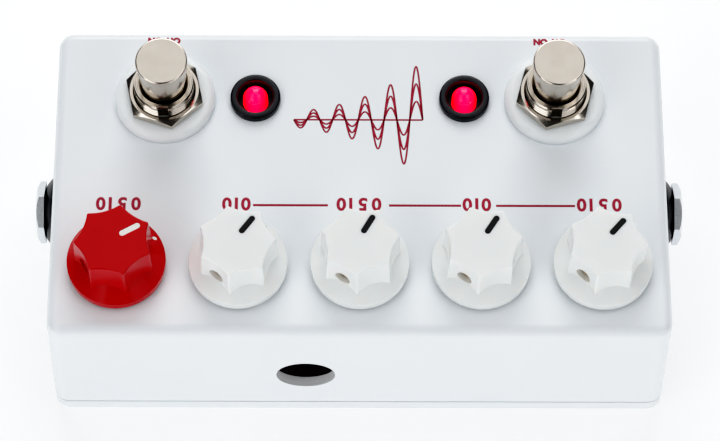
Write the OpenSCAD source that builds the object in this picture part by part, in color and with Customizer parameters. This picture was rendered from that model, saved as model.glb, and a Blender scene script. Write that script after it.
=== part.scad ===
// Delay pedal: a die-cast box with five knobs, two footswitches, two lamps and two audio jacks.
// Millimetres, +Z up. The origin is the middle of the base and the power socket is in the -Y wall.

/* [Enclosure] */
// Outside width, from one jack wall to the other
body_w = 121; // [120:0.5:150]
// Outside depth, from the socket wall to the footswitch wall
body_d = 66; // [64:0.5:90]
// Outside height, from the base to the top panel
body_h = 39.3; // [38.5:0.1:55]
// Thickness of the side walls
wall = 2; // [1.6:0.1:2.6]
// Thickness of the top panel
panel_t = 2; // [1.6:0.1:2.6]
// Radius of the upright corners
corner_r = 3; // [2.6:0.1:4]
// Rounding along the top edge
edge_r = 2; // [0.8:0.1:2.4]
// How far the jack walls lean out at the base, so that the casting leaves its mould
end_draft = 1.2; // [0.4:0.1:1.6]
// Diameter of the corner screw bosses
boss_d = 7.2; // [6.4:0.1:7.4]
// Distance of the lid screws from the outside faces
screw_inset = 5; // [4.6:0.1:5.4]

/* [Lid] */
// Height of the lid's visible edge
lid_h = 4; // [3.4:0.1:6]
// Thickness of the lid's floor
lid_floor = 2.2; // [2:0.1:2.8]
// Rounding of the lid's lower edge
lid_edge = 0.6; // [0.3:0.1:1]
// Height of the locating ribs inside the walls
rib_h = 1.8; // [1:0.1:3]
// Thickness of the locating ribs
rib_t = 1.2; // [0.8:0.1:2]
// Thread diameter of the lid screws
screw_d = 3; // [2.5:0.1:3.4]
// Head diameter of the lid screws
screw_head_d = 6; // [5.4:0.1:6.4]
// Length of the lid screws
screw_len = 12; // [8:0.5:16]

/* [Knobs] */
// Distance of the end knobs from the jack walls' outside
knob_end_inset = 13.3; // [12.5:0.1:16]
// Distance of the knob row from the socket wall's outside
knob_row_inset = 14.2; // [13.6:0.1:15]
// Diameter of the knob's skirt
knob_d = 19.2; // [18.6:0.1:20]
// Height of the knob
knob_h = 11; // [10:0.1:14]
// Gap between the knob and the panel
knob_gap = 0.7; // [0.4:0.1:0.9]
// Height of the skirt's upright edge
skirt_edge_h = 1.9; // [1.5:0.1:2.2]
// Rise of the skirt's cone from its edge to the grip
cone_rise = 3; // [2.5:0.1:3.4]
// Radius at which the cone ends inside the grip
cone_top_r = 6.2; // [5.8:0.1:6.8]
// Radius of the grip's corners at the top
grip_r = 7.7; // [7.4:0.02:7.9]
// Number of flutes round the grip
flutes = 7; // [6:1:9]
// Depth of a flute below the line between two corners
flute_depth = 0.55; // [0.4:0.05:0.7]
// Slope of the flutes, in degrees
flute_taper = 2.6; // [0:0.2:4]
// Pointer directions at rest, in degrees from +X, for knobs 1 to 5
pointer_turn = [29.5, 53.5, 60, 57.5, 49];
// Length of the pointer slot
pointer_len = 4.4; // [3:0.1:5]
// Width of the pointer slot
pointer_w = 1.2; // [0.7:0.1:1.6]
// Distance of the pointer slot's middle from the knob's axis
pointer_mid = 3.8; // [3:0.1:4]
// Offset of the pointer slot to the side of the knob's radius
pointer_side = 0.4; // [0:0.1:0.6]
// Diameter of the dot on the skirt
dot_d = 0.9; // [0.6:0.1:1.1]
// Distance of the dot from the knob's axis
dot_r = 8.5; // [8.4:0.05:8.7]

/* [Knob fixing] */
// Diameter of the brass insert
insert_d = 9; // [8.4:0.1:9.6]
// Length of the brass insert
insert_h = 6.2; // [5.4:0.1:6.4]
// Height of the set screw above the knob's lower edge
set_screw_z = 6.1; // [5.4:0.1:6.6]
// Thread diameter of the set screw
set_screw_d = 2.5; // [2:0.1:2.8]
// Length of the set screw
set_screw_len = 2.6; // [1.2:0.1:2.8]
// Diameter of the hole in the knob over the set screw
set_hole_d = 3.2; // [2.9:0.1:3.6]

/* [Potentiometers] */
// Diameter of the shaft
shaft_d = 6; // [5.6:0.05:6.35]
// Diameter of the round case
pot_d = 16.5; // [15:0.1:17]
// Height of the round case
pot_h = 9; // [8:0.1:9.4]
// Thread diameter of the bush
pot_bush_d = 7.5; // [7.2:0.1:8]
// Height of the bush above the panel
pot_bush_rise = 2.8; // [2.5:0.1:2.9]
// Nut size across its flats
pot_nut_af = 10; // [9.6:0.1:11]
// Nut thickness
pot_nut_h = 1.8; // [1.4:0.1:2]
// Washer diameter
pot_washer_d = 11.5; // [11:0.1:12.5]
// Washer thickness
pot_washer_h = 0.5; // [0.4:0.1:0.6]

/* [Footswitches] */
// Distance of the footswitches from the jack walls' outside
switch_end_inset = 21.7; // [19:0.1:24]
// Distance of the footswitch row from the outside of its wall
switch_row_inset = 15.4; // [13:0.1:15.6]
// Diameter of the plunger
plunger_d = 9.94; // [9.4:0.02:10.2]
// Height of the plunger's top above the panel
plunger_rise = 16.2; // [13:0.1:18]
// Travel of the plunger
plunger_travel = 3.5; // [2:0.1:4]
// Thread diameter of the bush
bush_d = 12; // [11.6:0.1:13]
// Height of the bush above the panel
bush_rise = 7.2; // [6:0.1:8]
// Width of the keyway down the bush
key_w = 2.1; // [1.2:0.1:3]
// Depth of the keyway
key_deep = 0.5; // [0.3:0.05:0.6]
// Nut size across its flats
nut_af = 14; // [13.6:0.1:16]
// Nut thickness
nut_h = 1.8; // [1.6:0.1:3]
// Turns of the left and right nut, in degrees
nut_turn = [-18.3, 15.7];
// Washer diameter
nylon_d = 20; // [17:0.1:22]
// Washer thickness
nylon_h = 2.3; // [0.8:0.1:2.6]
// Side of the square switch body
switch_w = 17.2; // [16.4:0.1:17.6]
// Height of the switch body
switch_h = 13.5; // [13:0.1:14]
// Diameter of the spring's wire
spring_wire_d = 0.7; // [0.5:0.05:0.8]
// Outside diameter of the spring
spring_d = 8.3; // [7.6:0.1:9]
// Number of turns of the spring
spring_turns = 5; // [4:1:6]

/* [Lamps] */
// Distance of each lamp from its footswitch, towards the middle
lamp_offset = 18; // [16.5:0.1:24]
// Distance of the lamp row from the outside of the footswitch wall
lamp_row_inset = 15.4; // [13:0.1:17]
// Diameter of the bezel's flange
bezel_d = 10; // [9.4:0.1:11]
// Height of the bezel's flange
bezel_h = 1.5; // [1.2:0.1:2]
// Diameter of the bezel's barrel
barrel_d = 8.2; // [7.8:0.1:8.6]
// Diameter of the recess round the LED
recess_d = 7.2; // [6.4:0.1:7.2]
// Depth of the recess below the flange's top
recess_deep = 2.7; // [2:0.1:3]
// Length of the barrel below the panel's top
barrel_len = 4.5; // [4:0.1:6]
// Diameter of the LED
led_d = 4.9; // [4.5:0.05:5.2]
// Height of the LED's tip above the panel
led_rise = 2.9; // [2.6:0.1:4.5]

/* [Audio jacks] */
// Depth of the jack axis below the panel's top
jack_drop = 17.8; // [17.6:0.1:20]
// Bore for the plug
plug_bore_d = 6.4; // [6.35:0.01:6.6]
// Thread diameter of the bush
jack_bush_d = 9; // [8.6:0.1:9.6]
// Washer diameter
jack_washer_d = 15; // [13:0.1:15.6]
// Washer thickness
jack_washer_h = 2.8; // [1.6:0.1:3]
// Nut size across its flats
jack_nut_af = 11; // [10.8:0.1:12]
// Nut thickness
jack_nut_h = 1.6; // [1.2:0.1:2.4]
// Turn of the nuts, in degrees, mirrored from one side to the other
jack_nut_turn = 5; // [0:1:59]
// Side of the square jack body
jack_w = 13.4; // [12.6:0.1:13.6]
// Gap between the jack bodies and the switch bodies
jack_switch_gap = 1.3; // [0.6:0.1:2]
// Reach of the plug inside, from the bush's outer end
plug_len = 31.5; // [30:0.1:33]

/* [Power socket] */
// Distance of the socket from the middle, along X
dc_x = -10.6; // [-11.5:0.1:-9.8]
// Hole in the wall for the plug's barrel
dc_hole_d = 11.7; // [10:0.1:12.4]
// Bore of the socket
dc_bore_d = 6.3; // [6:0.1:6.6]
// Diameter of the centre pin
dc_pin_d = 2; // [1.6:0.1:2.5]
// Setback of the socket behind the wall
dc_setback = 2.4; // [2.1:0.1:4]
// Width, length and height of the socket body
dc_body = [9, 14, 11];
// Depth of the socket axis below the main board
dc_drop = 6.5; // [5.5:0.1:7]

/* [Boards] */
// Thickness of the boards
board_t = 1.6; // [1:0.1:1.8]
// Gap between a board's edge and what is beside it
board_gap = 1; // [0.5:0.1:1.4]
// Length of the pot pins between the cases and the main board
pin_len = 2.2; // [1.5:0.1:3]
// Gap between the switch bodies and the switch board
switch_board_drop = 3; // [2.5:0.1:3.5]
// Width of the ribbon cable
ribbon_w = 10; // [6:0.5:10]
// Thickness of the ribbon cable
ribbon_t = 0.9; // [0.5:0.1:1.1]
// Bend radius of the ribbon cable
ribbon_bend = 2; // [1.5:0.1:2.2]

/* [Electronics] */
// Pitch of the chips' legs
leg_pitch = 2.54; // [2:0.01:2.6]
// Width of the chips' bodies
chip_w = 6.4; // [5:0.1:6.6]
// Height of the chips' bodies
chip_h = 3.4; // [2.5:0.1:3.8]
// Diameter of the electrolytic capacitors
can_d = 5; // [4:0.1:5.4]
// Height of the electrolytic capacitors
can_h = 11; // [5:0.5:12]
// Length, width and height of the film capacitors
film_size = [7.2, 2.3, 6.5];
// Length of the resistors' bodies
resistor_len = 6.3; // [3.5:0.1:6.6]
// Diameter of the resistors' bodies
resistor_d = 2.3; // [1.6:0.1:2.4]
// Diameter of the voltage regulator
regulator_d = 4.8; // [4:0.1:5]
// Distance of the chips' row from the main board's front edge
front_row_inset = 4.4; // [4.2:0.1:5]
// Distance of the last row from the main board's back edge
back_row_inset = 3.2; // [3:0.1:4]

/* [Clearances] */
// Radial gap where a piece turns or slides in another
run_gap = 0.05; // [0.02:0.01:0.1]
// Radial gap where a piece is pressed or set into another
seat_gap = 0.03; // [0.02:0.01:0.06]
// Radial gap of a thread or barrel in a drilled hole
hole_gap = 0.15; // [0.1:0.05:0.3]
// Gap between the lid's ribs and the walls
lid_gap = 0.25; // [0.1:0.05:0.5]
// Gap between the spring's ends and what they press on
spring_gap = 0.1; // [0.05:0.01:0.2]

/* [Hidden] */
$fn = 64;
HULL_FN = 32;

// Colours
COAT = [0.92, 0.93, 0.94];
RED = [0.75, 0.02, 0.05];
IVORY = [0.94, 0.94, 0.91];
INK = [0.05, 0.05, 0.06];
NICKEL = [0.78, 0.75, 0.71];
STEEL = [0.62, 0.63, 0.65];
BRASS = [0.8, 0.62, 0.3];
NYLON = [0.93, 0.94, 0.95, 0.6];
BLACK = [0.09, 0.09, 0.1];
LAMP = [1, 0.05, 0.2];
BOARD = [0.05, 0.3, 0.16];
RIBBON = [0.55, 0.57, 0.6];
FILM = [0.7, 0.12, 0.1];
SLEEVE = [0.1, 0.12, 0.25];
CARBON = [0.78, 0.66, 0.47];

// Rows and levels
SIDES = [-1, 1];
KNOBS = [1 : 5];
EPS = 0.01;
panel_z = body_h;
under_z = body_h - panel_t;
knob_y = -body_d / 2 + knob_row_inset;
switch_y = body_d / 2 - switch_row_inset;
lamp_y = body_d / 2 - lamp_row_inset;
knob_pitch = (body_w - 2 * knob_end_inset) / 4;
switch_pitch = body_w - 2 * switch_end_inset;
lamp_pitch = switch_pitch - 2 * lamp_offset;
boss_x = body_w / 2 - screw_inset;
boss_y = body_d / 2 - screw_inset;

// Knob form, from the knob's lower edge
knob_r = knob_d / 2;
skirt_break = 0.25;
cone_foot_r = knob_r - skirt_break;
cone_slope = cone_rise / (cone_foot_r - cone_top_r);
half_flute = grip_r * sin(180 / flutes);
flute_r = (half_flute * half_flute + flute_depth * flute_depth) / (2 * flute_depth);
flute_axis_r = grip_r * cos(180 / flutes) - flute_depth + flute_r;
blank_r = grip_r + 1.2;
slot_deep = 0.4;
slot_sink = 0.05;
dot_deep = 0.4;
nut_room = 0.4;
hollow_d = pot_washer_d + 2.5;
hollow_h = pot_bush_rise + nut_room - knob_gap + 0.2;
insert_top = hollow_h + insert_h;

// Shaft and pot
shaft_end_gap = 0.3;
pot_floor = 2;
pot_foot = under_z - pot_h;
shaft_top = panel_z + knob_gap + insert_top - shaft_end_gap;
shaft_foot = pot_foot + pot_floor;
pin_w = 1.2;
pin_t = 0.6;
pin_pitch = 5;
pin_row_r = pot_d / 2 - 2.2;

// Footswitch levels
flange_d = bush_d + 3.2;
flange_h = 0.8;
switch_top = under_z - flange_h;
switch_foot = switch_top - switch_h;
collar_d = plunger_d + 1.1;
collar_h = 1.5;
collar_gap = 0.1;
collar_top = switch_top - collar_gap;
collar_foot = collar_top - collar_h;
chamber_d = collar_d + 0.6;
spring_len = 8.5;
chamber_foot = collar_foot - spring_len;
stem_d = 4;
stem_len = spring_len - plunger_travel - 1;
rim_break = 0.2;
rim_w = 0.1;
mouth_deep = 0.9;
cap_break = 0.3;
lug_w = 2.2;
lug_t = 0.8;
lug_len = 5;
lug_pitch = [5.2, 4.8];
lug_slot_gap = 0.2;

// Boards
main_top = pot_foot - pin_len;
main_under = main_top - board_t;
dc_z = main_under - dc_drop;
switch_board_top = switch_foot - switch_board_drop;
main_board_w = 2 * (boss_x - boss_d / 2 - board_gap);
jack_z = panel_z - jack_drop;
jack_y = switch_y - switch_w / 2 - jack_switch_gap - jack_w / 2;
main_back = jack_y - jack_w / 2 - 2 * board_gap;
main_front = -body_d / 2 + wall + board_gap;
switch_board_w = switch_pitch + switch_w + board_gap;
switch_board_d = switch_w - board_gap;

// Legs and leads
leg_w = 0.6;
leg_t = 0.4;
chip_lift = 0.5;
lead_d = 0.6;
lead_lift = 1;
lead_reach = 0.8;
resistor_lift = 0.3;

// Jacks, along their own axis from the wall's outside
jack_reach = jack_washer_h + jack_nut_h + 0.1;
jack_flange_step = 0.2;
jack_flange_d = jack_w - 2 * jack_flange_step;
jack_flange_h = 1.2;
jack_back = 2;
jack_body_len = plug_len - jack_reach - wall - jack_flange_h + jack_back;
channel_w = plug_bore_d + 1.4;
contact_t = 0.4;
contact_len = 7;
contact_h = 3;
contact_slot_gap = 0.2;
contact_lug = 2.4;
contact_front = 6;
contact_back = 4;
contact_pin_inset = 1.5;

function knob_x(i) = (i - 3) * knob_pitch;
function cone_z(r) = skirt_edge_h + (cone_foot_r - r) * cone_slope;
function side_of(name) = name == "left" ? -1 : 1;

// Repeated shapes

module ring(od, id, h) {
  difference() {
    cylinder(d = od, h = h);
    translate([0, 0, -1]) cylinder(d = id, h = h + 2);
  }
}

// A hexagon nut, chamfered on its upper face and round its bore.
module hex_nut(af, bore, h) {
  land_inset = 0.15;
  bore_break = 0.25;
  corner = af / 2 / cos(30);
  land = af / 2 - land_inset;
  drop = (corner - land) * tan(30);
  difference() {
    intersection() {
      cylinder(r = corner, h = h, $fn = 6);
      rotate_extrude()
        polygon([[0, 0], [corner + 1, 0], [corner + 1, h - drop - tan(30)], [land, h], [0, h]]);
    }
    translate([0, 0, -1]) cylinder(d = bore, h = h + 2);
    translate([0, 0, h - bore_break]) cylinder(d1 = bore, d2 = bore + 4 * bore_break, h = 2 * bore_break);
  }
}

module rounded_plan(z, h, inset = 0) {
  for (sx = SIDES, sy = SIDES)
    translate([sx * (body_w / 2 + end_draft - corner_r), sy * (body_d / 2 - corner_r), z])
      cylinder(r = corner_r - inset, h = h, $fn = HULL_FN);
}

// A screw boss filled out to the corner of the box.
module boss(sx, sy, h) {
  translate([sx * boss_x, sy * boss_y, 0]) {
    cylinder(d = boss_d, h = h);
    translate([sx > 0 ? 0 : -screw_inset, sy > 0 ? 0 : -screw_inset, 0])
      cube([screw_inset, screw_inset, h]);
  }
}

module at_bosses() {
  for (sx = SIDES, sy = SIDES) translate([sx * boss_x, sy * boss_y, 0]) children();
}

// The knob's own frame: its lower edge at z = 0 and its pointer along +X.
module at_knob(i) {
  translate([knob_x(i), knob_y, panel_z + knob_gap]) rotate(pointer_turn[i - 1]) children();
}

module at_pots() {
  for (i = KNOBS) translate([knob_x(i), knob_y, 0]) children();
}

module at_switch(side) {
  translate([side * switch_pitch / 2, switch_y, 0]) children();
}

// A jack's own frame: +Z along the axis outwards, z = 0 on the wall's outside, +X up.
module at_jack(side) {
  translate([side * body_w / 2, jack_y, jack_z]) rotate([0, side * 90, 0]) children();
}

// Casing

module enclosure_form() {
  hull() {
    rounded_plan(lid_h, EPS);
    for (sx = SIDES, sy = SIDES)
      translate([sx * (body_w / 2 - corner_r), sy * (body_d / 2 - corner_r), panel_z - edge_r])
        rotate_extrude($fn = HULL_FN) translate([corner_r - edge_r, 0])
          intersection() {
            circle(r = edge_r, $fn = HULL_FN);
            translate([0, -edge_r]) square(2 * edge_r);
          }
  }
}

module enclosure_hollow() {
  difference() {
    translate([-body_w / 2 + wall, -body_d / 2 + wall, lid_h - 1])
      cube([body_w - 2 * wall, body_d - 2 * wall, under_z - lid_h + 1]);
    for (sx = SIDES, sy = SIDES) boss(sx, sy, body_h);
  }
}

module panel_hole(d) {
  translate([0, 0, under_z - 1]) cylinder(d = d + 2 * hole_gap, h = panel_t + 2);
}

module enclosure() {
  color(COAT) difference() {
    enclosure_form();
    enclosure_hollow();
    at_pots() panel_hole(pot_bush_d);
    for (side = SIDES) {
      at_switch(side) panel_hole(bush_d);
      translate([side * lamp_pitch / 2, lamp_y, 0]) panel_hole(barrel_d);
      at_jack(side) {
        translate([0, 0, -wall - 1]) cylinder(d = jack_bush_d + 2 * hole_gap, h = wall + 2);
        cylinder(d = jack_washer_d + 2 * hole_gap, h = 2 * end_draft);
      }
    }
    translate([dc_x, -body_d / 2 - 1, dc_z]) rotate([-90, 0, 0]) cylinder(d = dc_hole_d, h = wall + 2);
    at_bosses() translate([0, 0, lid_h - 1]) cylinder(d = screw_d + 2 * seat_gap, h = screw_len);
  }
}

module lid_ribs() {
  long = 2 * (boss_x - boss_d / 2 - lid_gap);
  short = 2 * (boss_y - boss_d / 2 - lid_gap);
  foot = lid_floor - EPS;
  high = lid_h + rib_h - foot;
  for (sy = SIDES)
    translate([0, sy * (body_d / 2 - wall - lid_gap - rib_t / 2), foot + high / 2])
      cube([long, rib_t, high], center = true);
  for (sx = SIDES)
    translate([sx * (body_w / 2 - wall - lid_gap - rib_t / 2), 0, foot + high / 2])
      cube([rib_t, short, high], center = true);
}

module bottom_lid() {
  head_cone = (screw_head_d - screw_d) / 2;
  color(COAT) difference() {
    union() {
      difference() {
        hull() {
          rounded_plan(lid_edge, lid_h - lid_edge);
          rounded_plan(0, EPS, lid_edge);
        }
        difference() {
          translate([-body_w / 2 + wall, -body_d / 2 + wall, lid_floor])
            cube([body_w - 2 * wall, body_d - 2 * wall, lid_h]);
          for (sx = SIDES, sy = SIDES) boss(sx, sy, body_h);
        }
      }
      lid_ribs();
    }
    at_bosses() {
      translate([0, 0, -1]) cylinder(d = screw_d + 2 * hole_gap, h = lid_h + 2);
      translate([0, 0, -1])
        cylinder(d1 = screw_head_d + 2 * hole_gap + 2, d2 = screw_d + 2 * hole_gap, h = head_cone + 1);
    }
  }
}

module lid_screws() {
  head_cone = (screw_head_d - screw_d) / 2;
  sunk = hole_gap - seat_gap;
  cross_w = 0.7;
  cross_l = 3;
  cross_deep = 0.9;
  color(STEEL) at_bosses() translate([0, 0, sunk]) difference() {
    union() {
      cylinder(d1 = screw_head_d, d2 = screw_d, h = head_cone);
      cylinder(d = screw_d, h = screw_len - 2 * sunk);
    }
    for (a = [0, 90]) rotate(a) cube([cross_l, cross_w, 2 * cross_deep], center = true);
  }
}

// Knobs

module skirt_form() {
  rotate_extrude() polygon([
    [0, 0],
    [knob_r - skirt_break, 0],
    [knob_r, skirt_break],
    [knob_r, skirt_edge_h - skirt_break],
    [cone_foot_r, skirt_edge_h],
    [cone_top_r, skirt_edge_h + cone_rise],
    [0, skirt_edge_h + cone_rise]
  ]);
}

// A disc with leaning hollow flutes that meet in sharp corners, one of them on the pointer's line.
module grip_form() {
  difference() {
    translate([0, 0, skirt_edge_h]) cylinder(r = blank_r, h = knob_h - skirt_edge_h);
    for (k = [0 : flutes - 1])
      rotate((k + 0.5) * 360 / flutes) translate([flute_axis_r, 0, knob_h])
        rotate([0, -flute_taper, 0]) cylinder(r = flute_r, h = 3 * knob_h, center = true);
  }
}

module slot_outline(gap) {
  throw = (pointer_len - pointer_w) / 2;
  hull() for (s = SIDES)
    translate([pointer_mid + s * throw, pointer_side]) circle(d = pointer_w - 2 * gap, $fn = HULL_FN);
}

module dot_rod(gap) {
  translate([dot_r, 0, cone_z(dot_r) - dot_deep]) cylinder(d = dot_d - 2 * gap, h = knob_h);
}

module set_screw_rod(d, from, len) {
  translate([0, 0, set_screw_z]) rotate([0, -90, 0]) translate([0, 0, from]) cylinder(d = d, h = len);
}

module knob(i) {
  color(i == 1 ? RED : IVORY) at_knob(i) difference() {
    union() {
      skirt_form();
      grip_form();
    }
    translate([0, 0, -1]) cylinder(d = hollow_d, h = hollow_h + 1);
    cylinder(d = insert_d + 2 * seat_gap, h = insert_top + seat_gap);
    set_screw_rod(set_hole_d, 0, knob_d);
    translate([0, 0, knob_h - slot_deep]) linear_extrude(slot_deep + 1) slot_outline(0);
    dot_rod(0);
  }
}

module pointer(i) {
  color(i == 1 ? IVORY : INK) at_knob(i) {
    translate([0, 0, knob_h - slot_deep]) linear_extrude(slot_deep - slot_sink) slot_outline(seat_gap);
    intersection() {
      skirt_form();
      dot_rod(seat_gap);
    }
  }
}

module insert(i) {
  screw_from = shaft_d / 2 + seat_gap;
  driver_w = 0.5;
  color(BRASS) at_knob(i) {
    difference() {
      translate([0, 0, hollow_h]) cylinder(d = insert_d, h = insert_h);
      translate([0, 0, hollow_h - 1]) cylinder(d = shaft_d + 2 * seat_gap, h = insert_h + 2);
      set_screw_rod(set_screw_d + 2 * seat_gap, 0, insert_d);
    }
    difference() {
      set_screw_rod(set_screw_d, screw_from, set_screw_len);
      translate([-screw_from - set_screw_len, 0, set_screw_z])
        cube([driver_w, set_screw_d + 1, driver_w], center = true);
    }
  }
}

// Potentiometers

module shaft(i) {
  color(STEEL) translate([knob_x(i), knob_y, shaft_foot]) cylinder(d = shaft_d, h = shaft_top - shaft_foot);
}

module pot_case(i) {
  color(STEEL) translate([knob_x(i), knob_y, 0]) difference() {
    union() {
      translate([0, 0, pot_foot]) cylinder(d = pot_d, h = pot_h);
      translate([0, 0, under_z - 1]) cylinder(d = pot_bush_d, h = panel_t + pot_bush_rise + 1);
      for (k = [-1 : 1])
        translate([k * pin_pitch - pin_w / 2, -pin_row_r - pin_t / 2, main_top])
          cube([pin_w, pin_t, pot_foot - main_top + 1]);
    }
    translate([0, 0, shaft_foot - shaft_end_gap]) cylinder(d = shaft_d + 2 * run_gap, h = body_h);
  }
}

module pot_washers() {
  color(STEEL) at_pots() translate([0, 0, panel_z])
    ring(pot_washer_d, pot_bush_d + 2 * seat_gap, pot_washer_h);
}

module pot_nuts() {
  color(NICKEL) at_pots() translate([0, 0, panel_z + pot_washer_h])
    hex_nut(pot_nut_af, pot_bush_d + 2 * seat_gap, pot_nut_h);
}

// Footswitches

module plunger(name) {
  rise = panel_z + plunger_rise - collar_top;
  r = plunger_d / 2;
  color(NICKEL) at_switch(side_of(name)) {
    translate([0, 0, collar_top]) rotate_extrude() polygon([
      [0, -collar_h - stem_len],
      [stem_d / 2, -collar_h - stem_len],
      [stem_d / 2, -collar_h],
      [collar_d / 2, -collar_h],
      [collar_d / 2, 0],
      [r, 0],
      [r, rise - cap_break],
      [r - cap_break, rise],
      [0, rise]
    ]);
  }
}

module switch_bush(name) {
  bore_r = plunger_d / 2 + run_gap;
  top = panel_t + bush_rise + flange_h;
  r = bush_d / 2;
  land_r = r - rim_break;
  color(NICKEL) at_switch(side_of(name)) translate([0, 0, switch_top]) difference() {
    rotate_extrude() polygon([
      [bore_r, 0],
      [flange_d / 2, 0],
      [flange_d / 2, flange_h],
      [r, flange_h],
      [r, top - rim_break],
      [land_r, top],
      [land_r - rim_w, top],
      [bore_r, top - mouth_deep]
    ]);
    translate([-key_w / 2, -r - 1, flange_h]) cube([key_w, key_deep + 1, top]);
  }
}

module switch_body(name) {
  half = switch_w / 2;
  bevel = 1;
  color(SLEEVE) at_switch(side_of(name)) difference() {
    translate([0, 0, switch_foot]) linear_extrude(switch_h) polygon([
      [-half + bevel, -half], [half - bevel, -half], [half, -half + bevel], [half, half - bevel],
      [half - bevel, half], [-half + bevel, half], [-half, half - bevel], [-half, -half + bevel]
    ]);
    translate([0, 0, chamber_foot]) cylinder(d = chamber_d, h = switch_h);
  }
}

module switch_nuts() {
  color(NICKEL) for (k = [0, 1]) at_switch(SIDES[k]) translate([0, 0, panel_z + nylon_h])
    rotate(nut_turn[k]) hex_nut(nut_af, bush_d + 2 * seat_gap, nut_h);
}

module nylon_washers() {
  color(NYLON) for (side = SIDES) at_switch(side) translate([0, 0, panel_z])
    ring(nylon_d, bush_d + 2 * hole_gap, nylon_h);
}

module at_lugs() {
  for (side = SIDES, kx = [-1 : 1], ky = [-1 : 1])
    at_switch(side) translate([kx * lug_pitch[0], ky * lug_pitch[1], switch_foot]) children();
}

module switch_lugs() {
  color(NICKEL) at_lugs() translate([-lug_w / 2, -lug_t / 2, -lug_len]) cube([lug_w, lug_t, lug_len]);
}

// Coil points, rings of the wire and their triangles
RINGS_A_TURN = 8;
WIRE_SIDES = 6;
coil_r = (spring_d - spring_wire_d) / 2;
coil_foot = chamber_foot + spring_gap + spring_wire_d / 2;
coil_rise = spring_len - 2 * spring_gap - spring_wire_d;
coil_rings = spring_turns * RINGS_A_TURN;
function coil_point(k) = [
  coil_r * cos(360 * k / RINGS_A_TURN),
  coil_r * sin(360 * k / RINGS_A_TURN),
  coil_foot + coil_rise * k / coil_rings
];
function wire_point(k, s) =
  let (a = 360 * k / RINGS_A_TURN, b = 360 * s / WIRE_SIDES, w = spring_wire_d / 2, out = w * cos(b))
  coil_point(k) + [out * cos(a), out * sin(a), w * sin(b)];
coil_gap = min([
  for (k = [0 : coil_rings], m = [k + RINGS_A_TURN / 2 : 1 : coil_rings])
    norm(coil_point(k) - coil_point(m))
]) - spring_wire_d;
echo(least_gap_of_spring_to_itself = coil_gap);

module coil() {
  n = WIRE_SIDES;
  polyhedron(
    points = [for (k = [0 : coil_rings], s = [0 : n - 1]) wire_point(k, s)],
    faces = concat(
      [for (k = [0 : coil_rings - 1], s = [0 : n - 1]) [k * n + s, k * n + (s + 1) % n, (k + 1) * n + s]],
      [for (k = [0 : coil_rings - 1], s = [0 : n - 1])
        [k * n + (s + 1) % n, (k + 1) * n + (s + 1) % n, (k + 1) * n + s]],
      [for (s = [1 : n - 2]) [0, s + 1, s]],
      [for (s = [1 : n - 2]) [coil_rings * n, coil_rings * n + s, coil_rings * n + s + 1]]
    )
  );
}

module spring(name) {
  color(STEEL) at_switch(side_of(name)) coil();
}

// Lamps

module led_bezels() {
  flange_r = bezel_d / 2;
  lip = bezel_h / 2;
  bore_r = led_d / 2 + run_gap;
  color(BLACK) for (side = SIDES)
    translate([side * lamp_pitch / 2, lamp_y, panel_z]) rotate_extrude() polygon(concat(
      [
        [bore_r, -barrel_len],
        [barrel_d / 2, -barrel_len],
        [barrel_d / 2, 0],
        [flange_r, 0]
      ],
      [for (a = [0 : 15 : 90]) [flange_r - lip + lip * cos(a), bezel_h - lip + lip * sin(a)]],
      [
        [recess_d / 2, bezel_h],
        [recess_d / 2, bezel_h - recess_deep],
        [bore_r, bezel_h - recess_deep]
      ]
    ));
}

module leds() {
  r = led_d / 2;
  foot_r = r + 0.4;
  foot_h = 1;
  lead_len = panel_z - barrel_len - foot_h - switch_board_top;
  color(LAMP) for (side = SIDES) translate([side * lamp_pitch / 2, lamp_y, panel_z]) {
    translate([0, 0, led_rise - r]) sphere(r = r);
    translate([0, 0, -barrel_len]) cylinder(r = r, h = barrel_len + led_rise - r);
    translate([0, 0, -barrel_len - foot_h]) cylinder(r = foot_r, h = foot_h);
    for (s = SIDES)
      translate([s * leg_pitch / 2, 0, switch_board_top - panel_z])
        cylinder(d = lead_d, h = lead_len + foot_h / 2);
  }
}

// Audio jacks

module jack_bushes() {
  r = jack_bush_d / 2;
  inner = plug_bore_d / 2;
  color(NICKEL) for (side = SIDES) at_jack(side) rotate_extrude() polygon([
    [inner, -wall - jack_flange_h],
    [jack_flange_d / 2, -wall - jack_flange_h],
    [jack_flange_d / 2, -wall],
    [r, -wall],
    [r, jack_reach],
    [inner, jack_reach]
  ]);
}

// A domed washer, with a narrow land for the nut. The dome's points are shares of its width and height.
module jack_washers() {
  dome = [[0, 0.2], [0.22, 0.5], [0.54, 0.77], [0.9, 0.95], [1, 1]];
  land_w = 0.35;
  r = jack_washer_d / 2;
  bore_r = jack_bush_d / 2 + seat_gap;
  dome_w = r - bore_r - land_w;
  color(BLACK) for (side = SIDES) at_jack(side) rotate_extrude() polygon(concat(
    [[bore_r, 0], [r, 0]],
    [for (p = dome) [r - p[0] * dome_w, p[1] * jack_washer_h]],
    [[bore_r, jack_washer_h]]
  ));
}

module jack_nuts() {
  color(NICKEL) for (side = SIDES)
    at_jack(side) translate([0, 0, jack_washer_h]) rotate(-side * jack_nut_turn)
      hex_nut(jack_nut_af, jack_bush_d + 2 * seat_gap, jack_nut_h);
}

// Contact places along the channel, measured inwards from the body's front.
contact_places = [contact_front, jack_body_len - contact_len - contact_back];

module jack_bodies() {
  front = -wall - jack_flange_h;
  color(BLACK) for (side = SIDES) at_jack(side) difference() {
    translate([-jack_w / 2, -jack_w / 2, front - jack_body_len]) cube([jack_w, jack_w, jack_body_len]);
    translate([-channel_w / 2, -channel_w / 2, front - jack_body_len + jack_back])
      cube([channel_w, channel_w, jack_body_len]);
    for (p = contact_places)
      translate([-contact_t / 2 - contact_slot_gap, -jack_w / 2 - 1,
                 front - p - contact_len / 2 - contact_lug / 2 - contact_slot_gap])
        cube([contact_t + 2 * contact_slot_gap, jack_w / 2, contact_lug + 2 * contact_slot_gap]);
  }
}

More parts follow.
